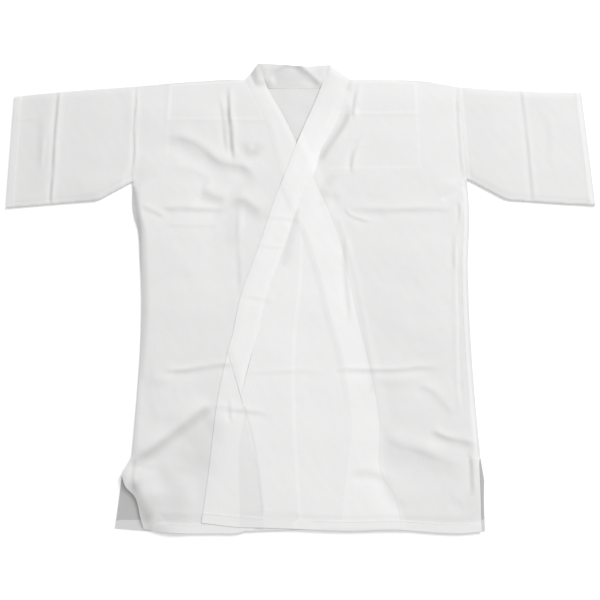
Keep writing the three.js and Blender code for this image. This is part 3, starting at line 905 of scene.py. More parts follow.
def triangulate(sheet):
    """Plan points, triangles, and the place of each outline point in them."""
    outline, names = closed(*sheet.edges)
    points = list(outline)
    sides = [(i, (i + 1) % len(outline)) for i in range(len(outline))]
    for stretch in inner_stretches(outline, sheet.lines, sheet.spacing):
        start = len(points)
        points += stretch
        sides += [(start + i, start + i + 1) for i in range(len(stretch) - 1)]
    points += field_of_points(outline, sheet.lines, sheet.spacing)
    flat = [Vector(point) for point in points]
    only_inside = 1
    made, _, faces, origins, _, _ = delaunay_2d_cdt(flat, sides, [], only_inside, 1e-4)
    plan = np.array([tuple(v) for v in made])
    triangles = np.array(faces)
    place = {}
    for i, origin in enumerate(origins):
        for source in origin:
            place[source] = i
    rim = [place[i] for i in range(len(outline))]
    a = plan[triangles[:, 0]]
    b = plan[triangles[:, 1]]
    c = plan[triangles[:, 2]]
    turn = (b[:, 0] - a[:, 0]) * (c[:, 1] - a[:, 1]) - (b[:, 1] - a[:, 1]) * (c[:, 0] - a[:, 0])
    triangles[turn < 0] = triangles[turn < 0][:, ::-1]
    return plan, triangles, rim, names


print("a sheet is", len(Sheet._fields), "facts")

# %% [markdown]
# Where two sheets share a named edge, the cloth goes round it: the outside of the upper one runs
# over into the underside of the lower one. A few rows of faces, pushed outwards a little, give the
# fold its soft round. Where they share none, each sheet gets a rim of its own.

# %% Sew sheets into one closed mesh
ROUND_ROWS = 3
BULGE = 0.5
Rim = namedtuple("Rim", "top low plan names")


def round_row(top, low, part, out):
    """A point on the way round a fold, from the upper edge down to the lower one."""
    push = BULGE * math.sin(math.pi * part)
    return (
        top[0] + (low[0] - top[0]) * part + out[0] * push,
        top[1] + (low[1] - top[1]) * part + out[1] * push,
        top[2] + (low[2] - top[2]) * part,
    )


def sew(name, sheets):
    """One closed mesh of thin walls from sheets that share named edges."""
    corners = []
    faces = []
    tones = []
    made = []
    for sheet in sheets:
        plan, triangles, rim, names = triangulate(sheet)
        x = plan[:, 0]
        y = plan[:, 1]
        low = sheet.low(x, y)
        high = low + sheet.thick(x, y)
        top_start = len(corners)
        corners += list(zip(x, y, high))
        low_start = len(corners)
        corners += list(zip(x, y, low))
        middle = plan[triangles].mean(axis=1)
        faces += [tuple(face) for face in triangles + top_start]
        tones += list(sheet.tone(middle[:, 0], middle[:, 1]))
        faces += [tuple(face[::-1]) for face in triangles + low_start]
        tones += [0.0] * len(triangles)
        tops = [top_start + i for i in rim]
        lows = [low_start + i for i in rim]
        keys = [(round(plan[i][0], 3), round(plan[i][1], 3)) for i in rim]
        made.append(Rim(tops, lows, keys, names))
    add_walls(made, shared_edges(sheets), corners, faces)
    tones += [0.0] * (len(faces) - len(tones))
    return mesh_object(name, corners, faces, tones)


def shared_edges(sheets):
    """Edge names of the first sheet that another sheet has too."""
    own = {name for name, _ in sheets[0].edges}
    others = {name for sheet in sheets[1:] for name, _ in sheet.edges}
    joins = {"side", "shoulder", "fold", "under", "fold right", "fold left"}
    return own & others & joins


def add_walls(made, shared, corners, faces):
    """A rim along every open edge, and a round fold along every shared one."""
    lower = made[0]
    lower_at = {key: i for i, key in enumerate(lower.plan)}
    for sheet in made:
        count = len(sheet.plan)
        for i, edge in enumerate(sheet.names):
            j = (i + 1) % count
            if edge not in shared:
                faces.append((sheet.low[i], sheet.low[j], sheet.top[j], sheet.top[i]))
    for sheet in made[1:]:
        count = len(sheet.plan)
        rows = {}
        for i, edge in enumerate(sheet.names):
            if edge not in shared:
                continue
            j = (i + 1) % count
            for spot in (i, j):
                if spot not in rows:
                    rows[spot] = fold_row(sheet, lower, lower_at, spot, corners)
            for upper, under in zip(range(ROUND_ROWS + 1), range(1, ROUND_ROWS + 2)):
                faces.append((rows[i][under], rows[j][under], rows[j][upper], rows[i][upper]))
            a = lower_at[sheet.plan[i]]
            b = lower_at[sheet.plan[j]]
            faces.append((sheet.low[i], sheet.low[j], lower.top[b], lower.top[a]))
        for i in rows:
            before = sheet.names[i - 1] in shared
            after = sheet.names[i] in shared
            if before != after:
                a = lower_at[sheet.plan[i]]
                patch = [*rows[i], lower.top[a], sheet.low[i]]
                faces.append(tuple(patch if before else patch[::-1]))


def fold_row(sheet, lower, lower_at, i, corners):
    """Corners from the top of the upper cloth round its fold to the underside of the lower."""
    count = len(sheet.plan)
    (ax, ay), (bx, by) = sheet.plan[i - 1], sheet.plan[(i + 1) % count]
    length = math.dist((ax, ay), (bx, by))
    out = ((by - ay) / length, (ax - bx) / length)
    top = corners[sheet.top[i]]
    under = lower.low[lower_at[sheet.plan[i]]]
    row = [sheet.top[i]]
    for k in range(1, ROUND_ROWS + 1):
        corners.append(round_row(top, corners[under], k / (ROUND_ROWS + 1), out))
        row.append(len(corners) - 1)
    return [*row, under]


print("rows round a fold:", ROUND_ROWS)


# %% Make a mesh object in metres
SHARP_ANGLE = 55


def mesh_object(name, corners, faces, tones):
    mesh = bpy.data.meshes.new(name)
    mesh.from_pydata((np.array(corners) * MM).tolist(), [], faces)
    mesh.polygons.foreach_set("use_smooth", [True] * len(faces))
    # Each face's number holds the layers beneath it, less painted shade.
    attribute = mesh.attributes.new("layers", "FLOAT", "FACE")
    attribute.data.foreach_set("value", np.array(tones, np.float32))
    mesh.set_sharp_from_angle(angle=math.radians(SHARP_ANGLE))
    mesh.validate()
    return add_object(name, mesh)


print("one millimetre is", MM, "m")

# %% [markdown]
# ## What shows through
# Gauze is so thin that each layer under it makes it whiter: the other front, the collar below, the
# turned hems and the seam allowances. Real light would pass through the cloth, but a part that
# goes to other programs should not need that. So each face gets a number for how many layers lie
# beneath it, less any painted shade, and the material turns the number into white.


# %% How much each layer whitens, and the painted shadow in the slits
SEAM_WHITE = 0.35
CENTRE_WHITE = 0.45
CENTRE_SEAM = 3.2
LINING_WHITE = 0.02
LINING_HEM_WHITE = 0.3
BACK_HEM_WHITE = 0.28
HEM_WHITE = 0.95
FRONT_WHITE = 0.9
STRIP_WHITE = 1.3
COLLAR_WHITE = 1.3
MOST_RIGHT = 1.15
MOST_LEFT = 1.45
# Painted shadow on the back inside the slits, where the curled fronts shade it, lighter on the hem.
SLIT_SHADE = -4.9
SLIT_HEM_SHADE = -2.0
print("a turned hem adds", HEM_WHITE, "of a layer")


# %% Tones of the layers
def within(outline, x, y):
    return is_inside(outline, x, y).astype(float)


def near_line(line, width, x, y):
    """1 within a strip along a line, 0 elsewhere."""
    return (away_from(line, x, y) < width).astype(float)


def lining_tone(x, y):
    """The lining is hardly seen through the fronts, but its turned edges are."""
    tone = np.zeros(np.shape(x))
    for outline in (outline_lining_right, outline_lining_left):
        depth = depth_in(outline, x, y)
        hem = (depth > 0) & (depth < LINING_HEM)
        tone = tone + LINING_WHITE * (depth > 0) + LINING_HEM_WHITE * hem
    depth = depth_in(outline_lining_back, x, y)
    hem = (depth > 0) & (depth < LINING_HEM) & ((x > LINING_SEEN_FROM) | (y > LINING_SEEN_ABOVE))
    return tone + LINING_WHITE * (depth > 0) + BACK_HEM_WHITE * hem


def seam_tone(x, y):
    """Seam allowances at the two sides and down the middle of the back."""
    tone = SEAM_WHITE * near_line(flowing(SIDE_RIGHT, LONG_STEP), ALLOWANCE, x, y)
    tone = tone + SEAM_WHITE * near_line(flowing(SIDE_LEFT, LONG_STEP), ALLOWANCE, x, y)
    return tone + CENTRE_WHITE * near_line(flowing(centre_back, LONG_STEP), CENTRE_SEAM, x, y)


print("layers of the lining add", float(lining_tone(np.array([0.0]), np.array([400.0]))[0]))

# %% [markdown]
# Some places are darker than their slope alone makes them under these lamps: shade in creases and
# hollows, the shadow beside a lifted edge, the thin dark line along an edge, and a broad grey over
# the upper left. That shade is painted into the colour. A table lists the painted shade by how many
# layers it takes away, how wide it is, and where it runs. A negative depth is a place painted lighter.

# %% Painted shade and light
Shade = namedtuple("Shade", "depth width line")
SLEEVE_CUFF_LEFT = [SLEEVE_FOLD_LEFT[-1], SLEEVE_UNDER_LEFT[0]]
PAINTED_SHADING = [
    Shade(1.7, 15, [(-278, -347), (-251, -330), (-231, -314), (-196, -286), (-162, -259)]),
    Shade(1.1, 62, [(-214, -430), (-190, -370), (-170, -312)]),
    Shade(1.6, 12, [(102, 349), (94, 330), (81, 305), (65, 280), (47, 248)]),
    Shade(0.8, 16, [(66, 204), (54, 182), (50, 150)]),
    Shade(2.6, 9, [(-320, 180), (-306, 122), (-300, 50), (-297, -60), (-299, -200), (-302, -330)]),
    Shade(3.4, 19, [(-278, -391), (-268, -419), (-255, -438)]),
    Shade(1.2, 26, [(-299, -371), (-285, -391)]),
    Shade(1.2, 7, [(299, -347), (296, -401)]),
    Shade(1.1, 20, [(-103, 270), (-93, 255), (-80, 268)]),
    Shade(0.22, 190, [(-250, 300), (-150, 330)]),
    Shade(0.4, 34, [(5, 150), (-20, 40)]),
    Shade(0.55, 46, [(-520, 370), (-508, 190)]),
    Shade(0.8, 9, [(76, 109), (97, 27), (120, -108), (133, -220)]),
    Shade(0.9, 14, [(-4, 131), (-14, 80), (-25, 23)]),
    Shade(1.5, 4, [(-123, -157), (-113, -187), (-103, -225)]),
    Shade(2.0, 4, SLEEVE_CUFF_LEFT),
    Shade(2.6, 6, SIDE_LEFT),
    Shade(1.3, 4, SHOULDER_RIGHT[:3]),
    Shade(1.0, 4, SHOULDER_LEFT[:3]),
    Shade(1.2, 4, [(-94, -252), (-78, -309), (-68, -361), (-59, -431)]),
    Shade(1.5, 9, [(103, 429), (103, 405)]),
    Shade(0.7, 22, [(-128, 146), (-124, 72)]),
    Shade(-0.5, 8, [(-105, 146), (-105, 101)]),
    Shade(1.2, 16, [(-143, 353), (-139, 312), (-133, 271)]),
    Shade(0.7, 26, [(-112, 146), (-98, 131), (-69, 122)]),
]


def painted_shading_tone(x, y):
    """Painted shade in creases, hollows and along edges; a negative depth paints light."""
    tone = np.zeros(np.shape(x))
    for shade in PAINTED_SHADING:
        near = np.clip(1 - away_from(flowing(shade.line, SHORT_STEP), x, y) / shade.width, 0, 1)
        tone = tone - shade.depth * near * near * (3 - 2 * near)
    return tone


print("greyer places:", len(PAINTED_SHADING))


# %% Tones of the fronts and the back, with their painted shade
def tone_right_front(x, y):
    tone = lining_tone(x, y) + seam_tone(x, y)
    tone = tone + HEM_WHITE * near_line(FRONT_HEM_RIGHT, HEM_WIDTH, x, y)
    return np.clip(tone, 0, MOST_RIGHT) + painted_shading_tone(x, y)


def tone_left_front(x, y):
    tone = lining_tone(x, y) + seam_tone(x, y)
    tone = tone + FRONT_WHITE * within(outline_front_right, x, y)
    tone = tone + STRIP_WHITE * within(outline_strip_right, x, y)
    tone = tone + COLLAR_WHITE * within(outline_collar_right, x, y)
    tone = tone + HEM_WHITE * near_line(FRONT_HEM_LEFT, HEM_WIDTH, x, y)
    return np.clip(tone, 0, MOST_LEFT) + painted_shading_tone(x, y)


def no_tone(x, y):
    return np.zeros(np.shape(x))


def tone_back(x, y):
    """The single cloth of the back, with the shadow in the slits painted dark, less dark on its turned
    hem.
    """
    shaded = (y < SLIT_TOP_Y) & ((x < SLIT_RIGHT_X) | (x > SLIT_LEFT_X))
    hem = y < BACK_HEM_Y + HEM_WIDTH
    return np.where(shaded, np.where(hem, SLIT_HEM_SHADE, SLIT_SHADE), 0.0)


print("the back in the slits takes away", -SLIT_SHADE, "layers")


# %% [markdown]
# ## Body lengths
# Each half of the body is one length of cloth that goes from the front hem over the shoulder to the
# back hem, with no shoulder seam. So the front and the back of a half are one mesh, joined round the
# shoulder and down the side seam, and open at the hem, the slit, the neck and the armhole.


# %% Thickness of the turned hems
HEM_SLOPE = 1.5


def plain_cloth(x, y):
    return np.full(np.shape(x), GAUZE)


def hemmed(line, width):
    """Cloth that is thicker along a line, where its edge is turned in twice."""
    def thick(x, y):
        away = away_from(line, x, y)
        return GAUZE + HEM_RISE * (1 - smooth(width - HEM_SLOPE, width + HEM_SLOPE, away))
    return thick


def offset_line(line, inwards):
    """A line moved sideways, to the left of its own direction."""
    curve = flowing(line, LONG_STEP)
    result = []
    for i, (px, py) in enumerate(curve):
        ax, ay = curve[max(i - 1, 0)]
        bx, by = curve[min(i + 1, len(curve) - 1)]
        length = math.dist((ax, ay), (bx, by))
        result.append((px - (by - ay) / length * inwards, py + (bx - ax) / length * inwards))
    return result


print("hem width:", HEM_WIDTH, "mm")

# %% Lines that show through the fronts
def doubled(line, dx, dy):
    """The line of an edge, and the line where its turned hem ends."""
    return [line, moved(line, dx, dy)]


right_edge = [(LINING_RIGHT, LINING_TOP_RIGHT - 1), (LINING_RIGHT, LINING_BACK)]
left_edge = [(LINING_LEFT, LINING_TOP_LEFT - 1), (LINING_LEFT, LINING_BACK)]
back_edge = [(LINING_SEEN_FROM, LINING_BACK), (LINING_LEFT, LINING_BACK)]
right_hem_y = LINING_FRONT_RIGHT + LINING_HEM
straight_lining_lines = [
    *doubled(right_edge, LINING_HEM, 0),
    *doubled(left_edge, -LINING_HEM, 0),
    *doubled(back_edge, 0, LINING_HEM),
    [(LINING_RIGHT, LINING_FRONT_RIGHT), (LINING_INNER_RIGHT, LINING_FRONT_RIGHT)],
    [(LINING_RIGHT, right_hem_y), (LINING_INNER_RIGHT - 2, right_hem_y)],
    *doubled(
        [(LINING_INNER_LEFT, LINING_FRONT_LEFT), (LINING_LEFT, LINING_FRONT_LEFT)], 0, LINING_HEM
    ),
]
seam_lines = [
    offset_line(SIDE_RIGHT, ALLOWANCE),
    offset_line(SIDE_LEFT, -ALLOWANCE),
    moved(centre_back, CENTRE_SEAM, 0),
    moved(centre_back, -CENTRE_SEAM, 0),
]
under_left_front = [
    column(COLLAR_RIGHT, "free"),
    column(COLLAR_RIGHT, "seam"),
    column(STRIP_RIGHT, "edge"),
    column(STRIP_RIGHT, "seam"),
]
print("lines through the left front:", len(straight_lining_lines + seam_lines + under_left_front))

# %% Build the two halves
FINE = 3.2
COARSE = 6
BACK_HEM_LINE = [(-330, BACK_HEM_Y + HEM_WIDTH), (335, BACK_HEM_Y + HEM_WIDTH)]

right_half = sew("cloth_body_right", [
    Sheet(back_right, [BACK_HEM_LINE], COARSE, back_relief, plain_cloth, tone_back),
    Sheet(
        front_right,
        straight_lining_lines + seam_lines + [offset_line(FRONT_HEM_RIGHT, HEM_WIDTH)],
        FINE,
        on_back,
        hemmed(FRONT_HEM_RIGHT, HEM_WIDTH),
        tone_right_front,
    ),
])
left_half = sew("cloth_body_left", [
    Sheet(back_left, [BACK_HEM_LINE], COARSE, back_relief, plain_cloth, tone_back),
    Sheet(
        front_left,
        straight_lining_lines + seam_lines + under_left_front
        + [offset_line(FRONT_HEM_LEFT, -HEM_WIDTH)],
        FINE,
        on_right_front,
        hemmed(FRONT_HEM_LEFT, HEM_WIDTH),
        tone_left_front,
    ),
])
for piece in (right_half, left_half):
    print(piece.name, len(piece.data.polygons), "faces")


# %% [markdown]
# ## Sleeves
# A sleeve is one cloth folded along its top and sewn along its underside. Two sheets with the same
# outline, joined at the fold and the seam, make a flat tube that is open at the cuff and where it
# meets the body. The cuff is turned in like a hem.


# %% Build the sleeves
ARMHOLE_SEAM = 7
UNDER_SEAM = 9
SLEEVE_SEAM_WHITE = 0.6
SLEEVE_SHADE = 0.45
SLEEVE_COARSE = 4.5


def sleeve_low(x, y):
    return LAYER + relief(x, y)


def build_sleeve(name, edges, outwards, cuff_white):
    """A flat tube from one outline; outwards is the side of the garment that it is on."""
    cuff = dict(edges)["cuff"]
    armhole = dict(edges)["armhole"]

    def tone(x, y):
        white = cuff_white * near_line(cuff, CUFF_WIDTH, x, y)
        white = white + SLEEVE_SEAM_WHITE * near_line(armhole, ARMHOLE_SEAM, x, y)
        white = white + SLEEVE_SEAM_WHITE * near_line(dict(edges)["under"], UNDER_SEAM, x, y)
        # Painted shade: the sleeve is greyed all over, and the painted shading table is added.
        return np.clip(white, 0, 1) - SLEEVE_SHADE + painted_shading_tone(x, y)

    lines = [
        moved(cuff, -outwards * CUFF_WIDTH, 0),
        moved(armhole, outwards * ARMHOLE_SEAM, 0),
    ]
    return sew(name, [
        Sheet(edges, [], SLEEVE_COARSE, back_relief, hemmed(cuff, CUFF_WIDTH), tone),
        Sheet(edges, lines, FINE, sleeve_low, hemmed(cuff, CUFF_WIDTH), tone),
    ])


right_sleeve = build_sleeve("cloth_sleeve_right", sleeve_right, -1, cuff_white=0.9)
# The left cuff gets less white than the right: painted shade against the lamp on its slope.
left_sleeve = build_sleeve("cloth_sleeve_left", sleeve_left, 1, cuff_white=0.5)
print(right_sleeve.name, len(right_sleeve.data.polygons), "faces")

# %% [markdown]
# ## Shoulder lining
# A short lining lies inside the shoulders, over the back of the neck and down the two fronts. Most of
# it only shows as a paler square through the fronts, and its back shows in the opening of the neck,
# so the whole lining is painted darker for the shade in that opening.


# %% Build the lining
LINING_PAINTED_SHADE = -0.85
LINING_FINE = 5
LINING_COARSE = 8
NECK_LOOSE = 0.5
NECK_WAVES = (40, 90, 21)
NECK_WAVE_SHARE = 0.6
NECK_OPEN_X = 6
NECK_OPEN_X_FADE = Fade(26, 60)
NECK_OPEN_Y_FADE = Fade(150, 180)


def lining_back_low(x, y):
    """Where the neck lies open nothing presses on the lining, so it stands a little looser."""
    across = np.abs(x - NECK_OPEN_X)
    open_neck = smooth(*NECK_OPEN_Y_FADE, y) * (1 - smooth(*NECK_OPEN_X_FADE, across))
    loose = NECK_LOOSE * open_neck * (1 + NECK_WAVE_SHARE * ripple(x, y, *NECK_WAVES))
    return back_relief(x, y) + LAYER + loose


def lining_front_low(x, y):
    return back_relief(x, y) + 2 * LAYER


# Painted shade: the lining's colour is darkened all over.
def painted_shade_lining(x, y):
    return np.full(np.shape(x), LINING_PAINTED_SHADE)


lining = sew("cloth_shoulder_lining", [
    Sheet(lining_back, [], LINING_FINE, lining_back_low, plain_cloth, painted_shade_lining),
    Sheet(lining_front_right, [], LINING_COARSE, lining_front_low, plain_cloth, painted_shade_lining),
    Sheet(lining_front_left, [], LINING_COARSE, lining_front_low, plain_cloth, painted_shade_lining),
])
print(lining.name, len(lining.data.polygons), "faces")


# %% [markdown]
# ## Overlap strips
# A tapering strip, the okumi, widens each front below the collar. Its front edge is turned in and
# doubled, so it looks whiter than the single cloth next to the seam.

# %% Build the strips
STRIP_DOUBLE_LINE = [(-92, -252), (-101, -309), (-98, -436)]
STRIP_HEM_Y = -438
STRIP_DOUBLE_WHITE = 0.75
STRIP_SINGLE_WHITE = 0.25
STRIP_HEM_WHITE = 0.4
STRIP_LOW_SHADE = 0.05
STRIP_FADE = Fade(-400, -300)


def tone_strip_left(x, y):
    """White where the edge is doubled and fainter from there to the seam, with painted shade added."""
    sides, heights = split(flowing(STRIP_DOUBLE_LINE, EDGE_STEP)[::-1])
    is_doubled = x < np.interp(y, heights, sides)
    single = STRIP_SINGLE_WHITE * smooth(*STRIP_FADE, y) - STRIP_LOW_SHADE
    tone = np.where(is_doubled, STRIP_DOUBLE_WHITE, single)
    return tone + STRIP_HEM_WHITE * (y < STRIP_HEM_Y) + painted_shading_tone(x, y)


strip_on_top = sew("cloth_okumi_left", [
    Sheet(
        strip_left,
        [STRIP_DOUBLE_LINE, [(-162, -434), (-58, -440)]],
        FINE,
        on_right_front,
        hemmed([(-162, -449), (-57, -457)], HEM_WIDTH),
        tone_strip_left,
    ),
])
strip_below = sew("cloth_okumi_right", [
    Sheet(strip_right, [], COARSE, on_back, plain_cloth, no_tone),
])
print(strip_on_top.name, len(strip_on_top.data.polygons), "faces")

# %% [markdown]
# ## The collar
# The collar is a band folded double over a strip of cotton, so it is thicker and whiter than the
# gauze. It lies down both fronts and stands off the table a little behind the neck.


# %% Build the collar
COLLAR_FOLD = [(88, 428), (76, 385), (58, 330), (34, 278), (20, 235), (-4, 178), (-34, 90)]
COLLAR_ROLL = Crease(0.5, 10, 30, COLLAR_FOLD, "sharp")
ROLL_SEED = 900


BAND_SPACING = 3.0
BAND_EDGE = 0.4
BAND_EDGE_FADE = Fade(-2, 11)
# Painted shade: the collar greys towards the neck, and the band behind it is darkened all over.
COLLAR_TONE = 0.9
COLLAR_SHADE = 1.5
COLLAR_FADE = Fade(260, 440)
UNDER_COLLAR_TONE = -0.15
UNDER_COLLAR_SHADE = 0.75
UNDER_COLLAR_FADE = Fade(405, 450)
BAND_THINNING = 0.55
NECK_PAINTED_SHADE = -1.4
NECK_MEET = 24


def band_thick(outline, thinning=0.0):
    """A doubled band, thinner at its edges and, if thinning is set, towards its lower end."""
    def thick(x, y):
        inside = smooth(*BAND_EDGE_FADE, depth_in(outline, x, y))
        along = 1 - thinning * (1 - smooth(*BAND_FADE, y))
        return BAND * (BAND_EDGE + (1 - BAND_EDGE) * inside) * along
    return thick


def top_band_low(x, y):
    roll = crease_height(COLLAR_ROLL, x, y, ROLL_SEED)
    return on_right_front(x, y) + neck_rise(x, y) + roll


def under_band_low(x, y):
    return on_back(x, y) + neck_rise(x, y)


def tone_collar(x, y):
    """The top collar is the whitest piece, with shade painted in towards the neck."""
    return COLLAR_TONE - COLLAR_SHADE * smooth(*COLLAR_FADE, y)


# Painted shade: the lower collar is a little grey, and darker behind the neck.
def tone_under_collar(x, y):
    return UNDER_COLLAR_TONE - UNDER_COLLAR_SHADE * smooth(*UNDER_COLLAR_FADE, y)


# Painted shade: the band behind the neck faces away from the lamp and is darkened all over.
def painted_shade_neck(x, y):
    return np.full(np.shape(x), NECK_PAINTED_SHADE)


def neck_low(x, y):
    """Behind the neck the band lies on the back, and rises to meet its two front stretches."""
    near = 0.0
    for turn, band in ((TURN_RIGHT, COLLAR_RIGHT[0]), (TURN_LEFT, COLLAR_LEFT[0])):
        away = away_from([turn, (band.free, NECK_SEAM_Y)], x, y)
        near = np.maximum(near, smooth(*NECK_MEET_FADE, y) * (1 - smooth(0, NECK_MEET, away)))
    back = back_relief(x, y)
    return back + neck_rise(x, y) + (on_back(x, y) - back) * near


left_thick = band_thick(outline_collar_left)
right_thick = band_thick(outline_collar_right, BAND_THINNING)
neck_thick = band_thick(plain(*collar_neck), BAND_THINNING)
band_left = sew("cloth_collar_left", [
    Sheet(collar_left, [], BAND_SPACING, top_band_low, left_thick, tone_collar),
])
band_right = sew("cloth_collar_right", [
    Sheet(collar_right, [], FINE, under_band_low, right_thick, tone_under_collar),
])
band_neck = sew("cloth_collar_neck", [
    Sheet(collar_neck, [], BAND_SPACING, neck_low, neck_thick, painted_shade_neck),
])
print(band_left.name, len(band_left.data.polygons), "faces")

# %% [markdown]
# ## Cotton
# Plain-weave gauze is matt, with a soft sheen at grazing angles and small thick places, or slubs, in
# its threads. A wave in each direction raises the weave, stretched noise makes the slubs, and the
# layer number of each face, less its painted shade, chooses the white.


# %% Make a cotton material
WAVES_PER_METRE = 0.314
SLUB_SHORT = 60
SLUB_LONG = 1300


def node(tree, kind, place, sockets=None, **values):
    """A node with its own settings, and with values on its unlinked sockets."""
    made = tree.nodes.new(kind)
    made.location = place
    for name, value in values.items():
        setattr(made, name, value)
    for socket, value in (sockets or {}).items():
        made.inputs[socket].default_value = value
    return made


def both(tree, first, second, place):
    """The mean of two patterns that cross each other."""
    made = node(tree, "ShaderNodeMix", place, {0: 0.5}, data_type="FLOAT")
    tree.links.new(first.outputs["Fac"], made.inputs[2])
    tree.links.new(second.outputs["Fac"], made.inputs[3])
    return made


def cotton(name, single, layered, pitch, sheen):
    material = bpy.data.materials.new(name)
    material.use_nodes = True
    tree = material.node_tree
    link = tree.links.new
    shader = tree.nodes["Principled BSDF"]
    shader.inputs["Roughness"].default_value = 0.92
    shader.inputs["Specular IOR Level"].default_value = 0.25
    shader.inputs["Sheen Weight"].default_value = sheen
    shader.inputs["Sheen Roughness"].default_value = 0.5

    places = node(tree, "ShaderNodeTexCoord", (-1500, 0))
    # Painted shade comes in as numbers below zero; the mix is unclamped so they reach below the single
    # white.
    layers = node(tree, "ShaderNodeAttribute", (-1100, 400), attribute_name="layers")
    whites = {6: (*single, 1), 7: (*layered, 1)}
    white = node(tree, "ShaderNodeMix", (-800, 400), whites, data_type="RGBA")
    white.clamp_factor = False
    link(layers.outputs["Fac"], white.inputs[0])

    heights = []
    for direction, spot in (("X", -200), ("Y", -450)):
        sizes = {"Scale": WAVES_PER_METRE / (pitch * MM), "Distortion": 0.6, "Detail": 1}
        wave = node(
            tree, "ShaderNodeTexWave", (-1100, spot), sizes, bands_direction=direction
        )
        link(places.outputs["Object"], wave.inputs["Vector"])
        heights.append(wave)
    weave = both(tree, *heights, (-850, -300))

    slubs = []
    along_y = (SLUB_SHORT, SLUB_LONG, SLUB_SHORT)
    along_x = (SLUB_LONG, SLUB_SHORT, SLUB_SHORT)
    for stretch, spot in ((along_y, 100), (along_x, -50)):
        mapping = node(tree, "ShaderNodeMapping", (-1300, spot), {"Scale": stretch})
        noise = node(tree, "ShaderNodeTexNoise", (-1100, spot), {"Scale": 1, "Detail": 2})
        link(places.outputs["Object"], mapping.inputs["Vector"])
        link(mapping.outputs["Vector"], noise.inputs["Vector"])
        slubs.append(noise)
    thread = both(tree, *slubs, (-850, 50))

    ranges = {"From Min": 0.3, "From Max": 0.7, "To Min": 0.98, "To Max": 1.02}
    shade = node(tree, "ShaderNodeMapRange", (-600, 100), ranges)
    link(thread.outputs[0], shade.inputs["Value"])
    colour = node(tree, "ShaderNodeVectorMath", (-400, 300), operation="SCALE")
    link(white.outputs[2], colour.inputs[0])
    link(shade.outputs["Result"], colour.inputs["Scale"])
    link(colour.outputs["Vector"], shader.inputs["Base Color"])

    fine = {"Strength": 0.25, "Distance": 0.1 * MM}
    coarse = {"Strength": 0.35, "Distance": 0.2 * MM}
    bump_weave = node(tree, "ShaderNodeBump", (-400, -300), fine)
    link(weave.outputs[0], bump_weave.inputs["Height"])
    bump_thread = node(tree, "ShaderNodeBump", (-200, -200), coarse)
    link(thread.outputs[0], bump_thread.inputs["Height"])
    link(bump_weave.outputs["Normal"], bump_thread.inputs["Normal"])
    link(bump_thread.outputs["Normal"], shader.inputs["Normal"])
    return material


gauze = cotton(
    "gauze", single=(0.745, 0.748, 0.742), layered=(0.80, 0.803, 0.797), pitch=0.55, sheen=0.1
)
band_cotton = cotton(
    "band cotton", single=(0.78, 0.783, 0.777), layered=(0.815, 0.818, 0.812), pitch=0.45, sheen=0.12
)
for piece in (right_half, left_half, right_sleeve, left_sleeve, lining, strip_on_top, strip_below):
    piece.data.materials.append(gauze)
for piece in (band_left, band_right, band_neck):
    piece.data.materials.append(band_cotton)
print("materials:", gauze.name, "and", band_cotton.name)

# %% [markdown]
# ## Stitches
# Hems, cuffs and seams of a juban are sewn by hand with white thread in small running stitches. A
# line of points lies on the cloth, and Geometry Nodes space short threads along it. Each thread
# is one low cylinder, turned along its seam and a little uneven in length.

# %% Stitch sizes
STITCH_PITCH = 6.0
STITCH_LENGTH = 3.2
THREAD_RADIUS = 0.28
THREAD_SIDES = 6
THREAD_SUNK = 0.4
STITCH_SEED = 7
STITCH_SHORTEST = 0.8
STITCH_LONGEST = 1.15
SEAM_STEP = 3
SEAM_INSET = 2
CUFF_CLEAR = 3
print("stitches every", STITCH_PITCH, "mm")


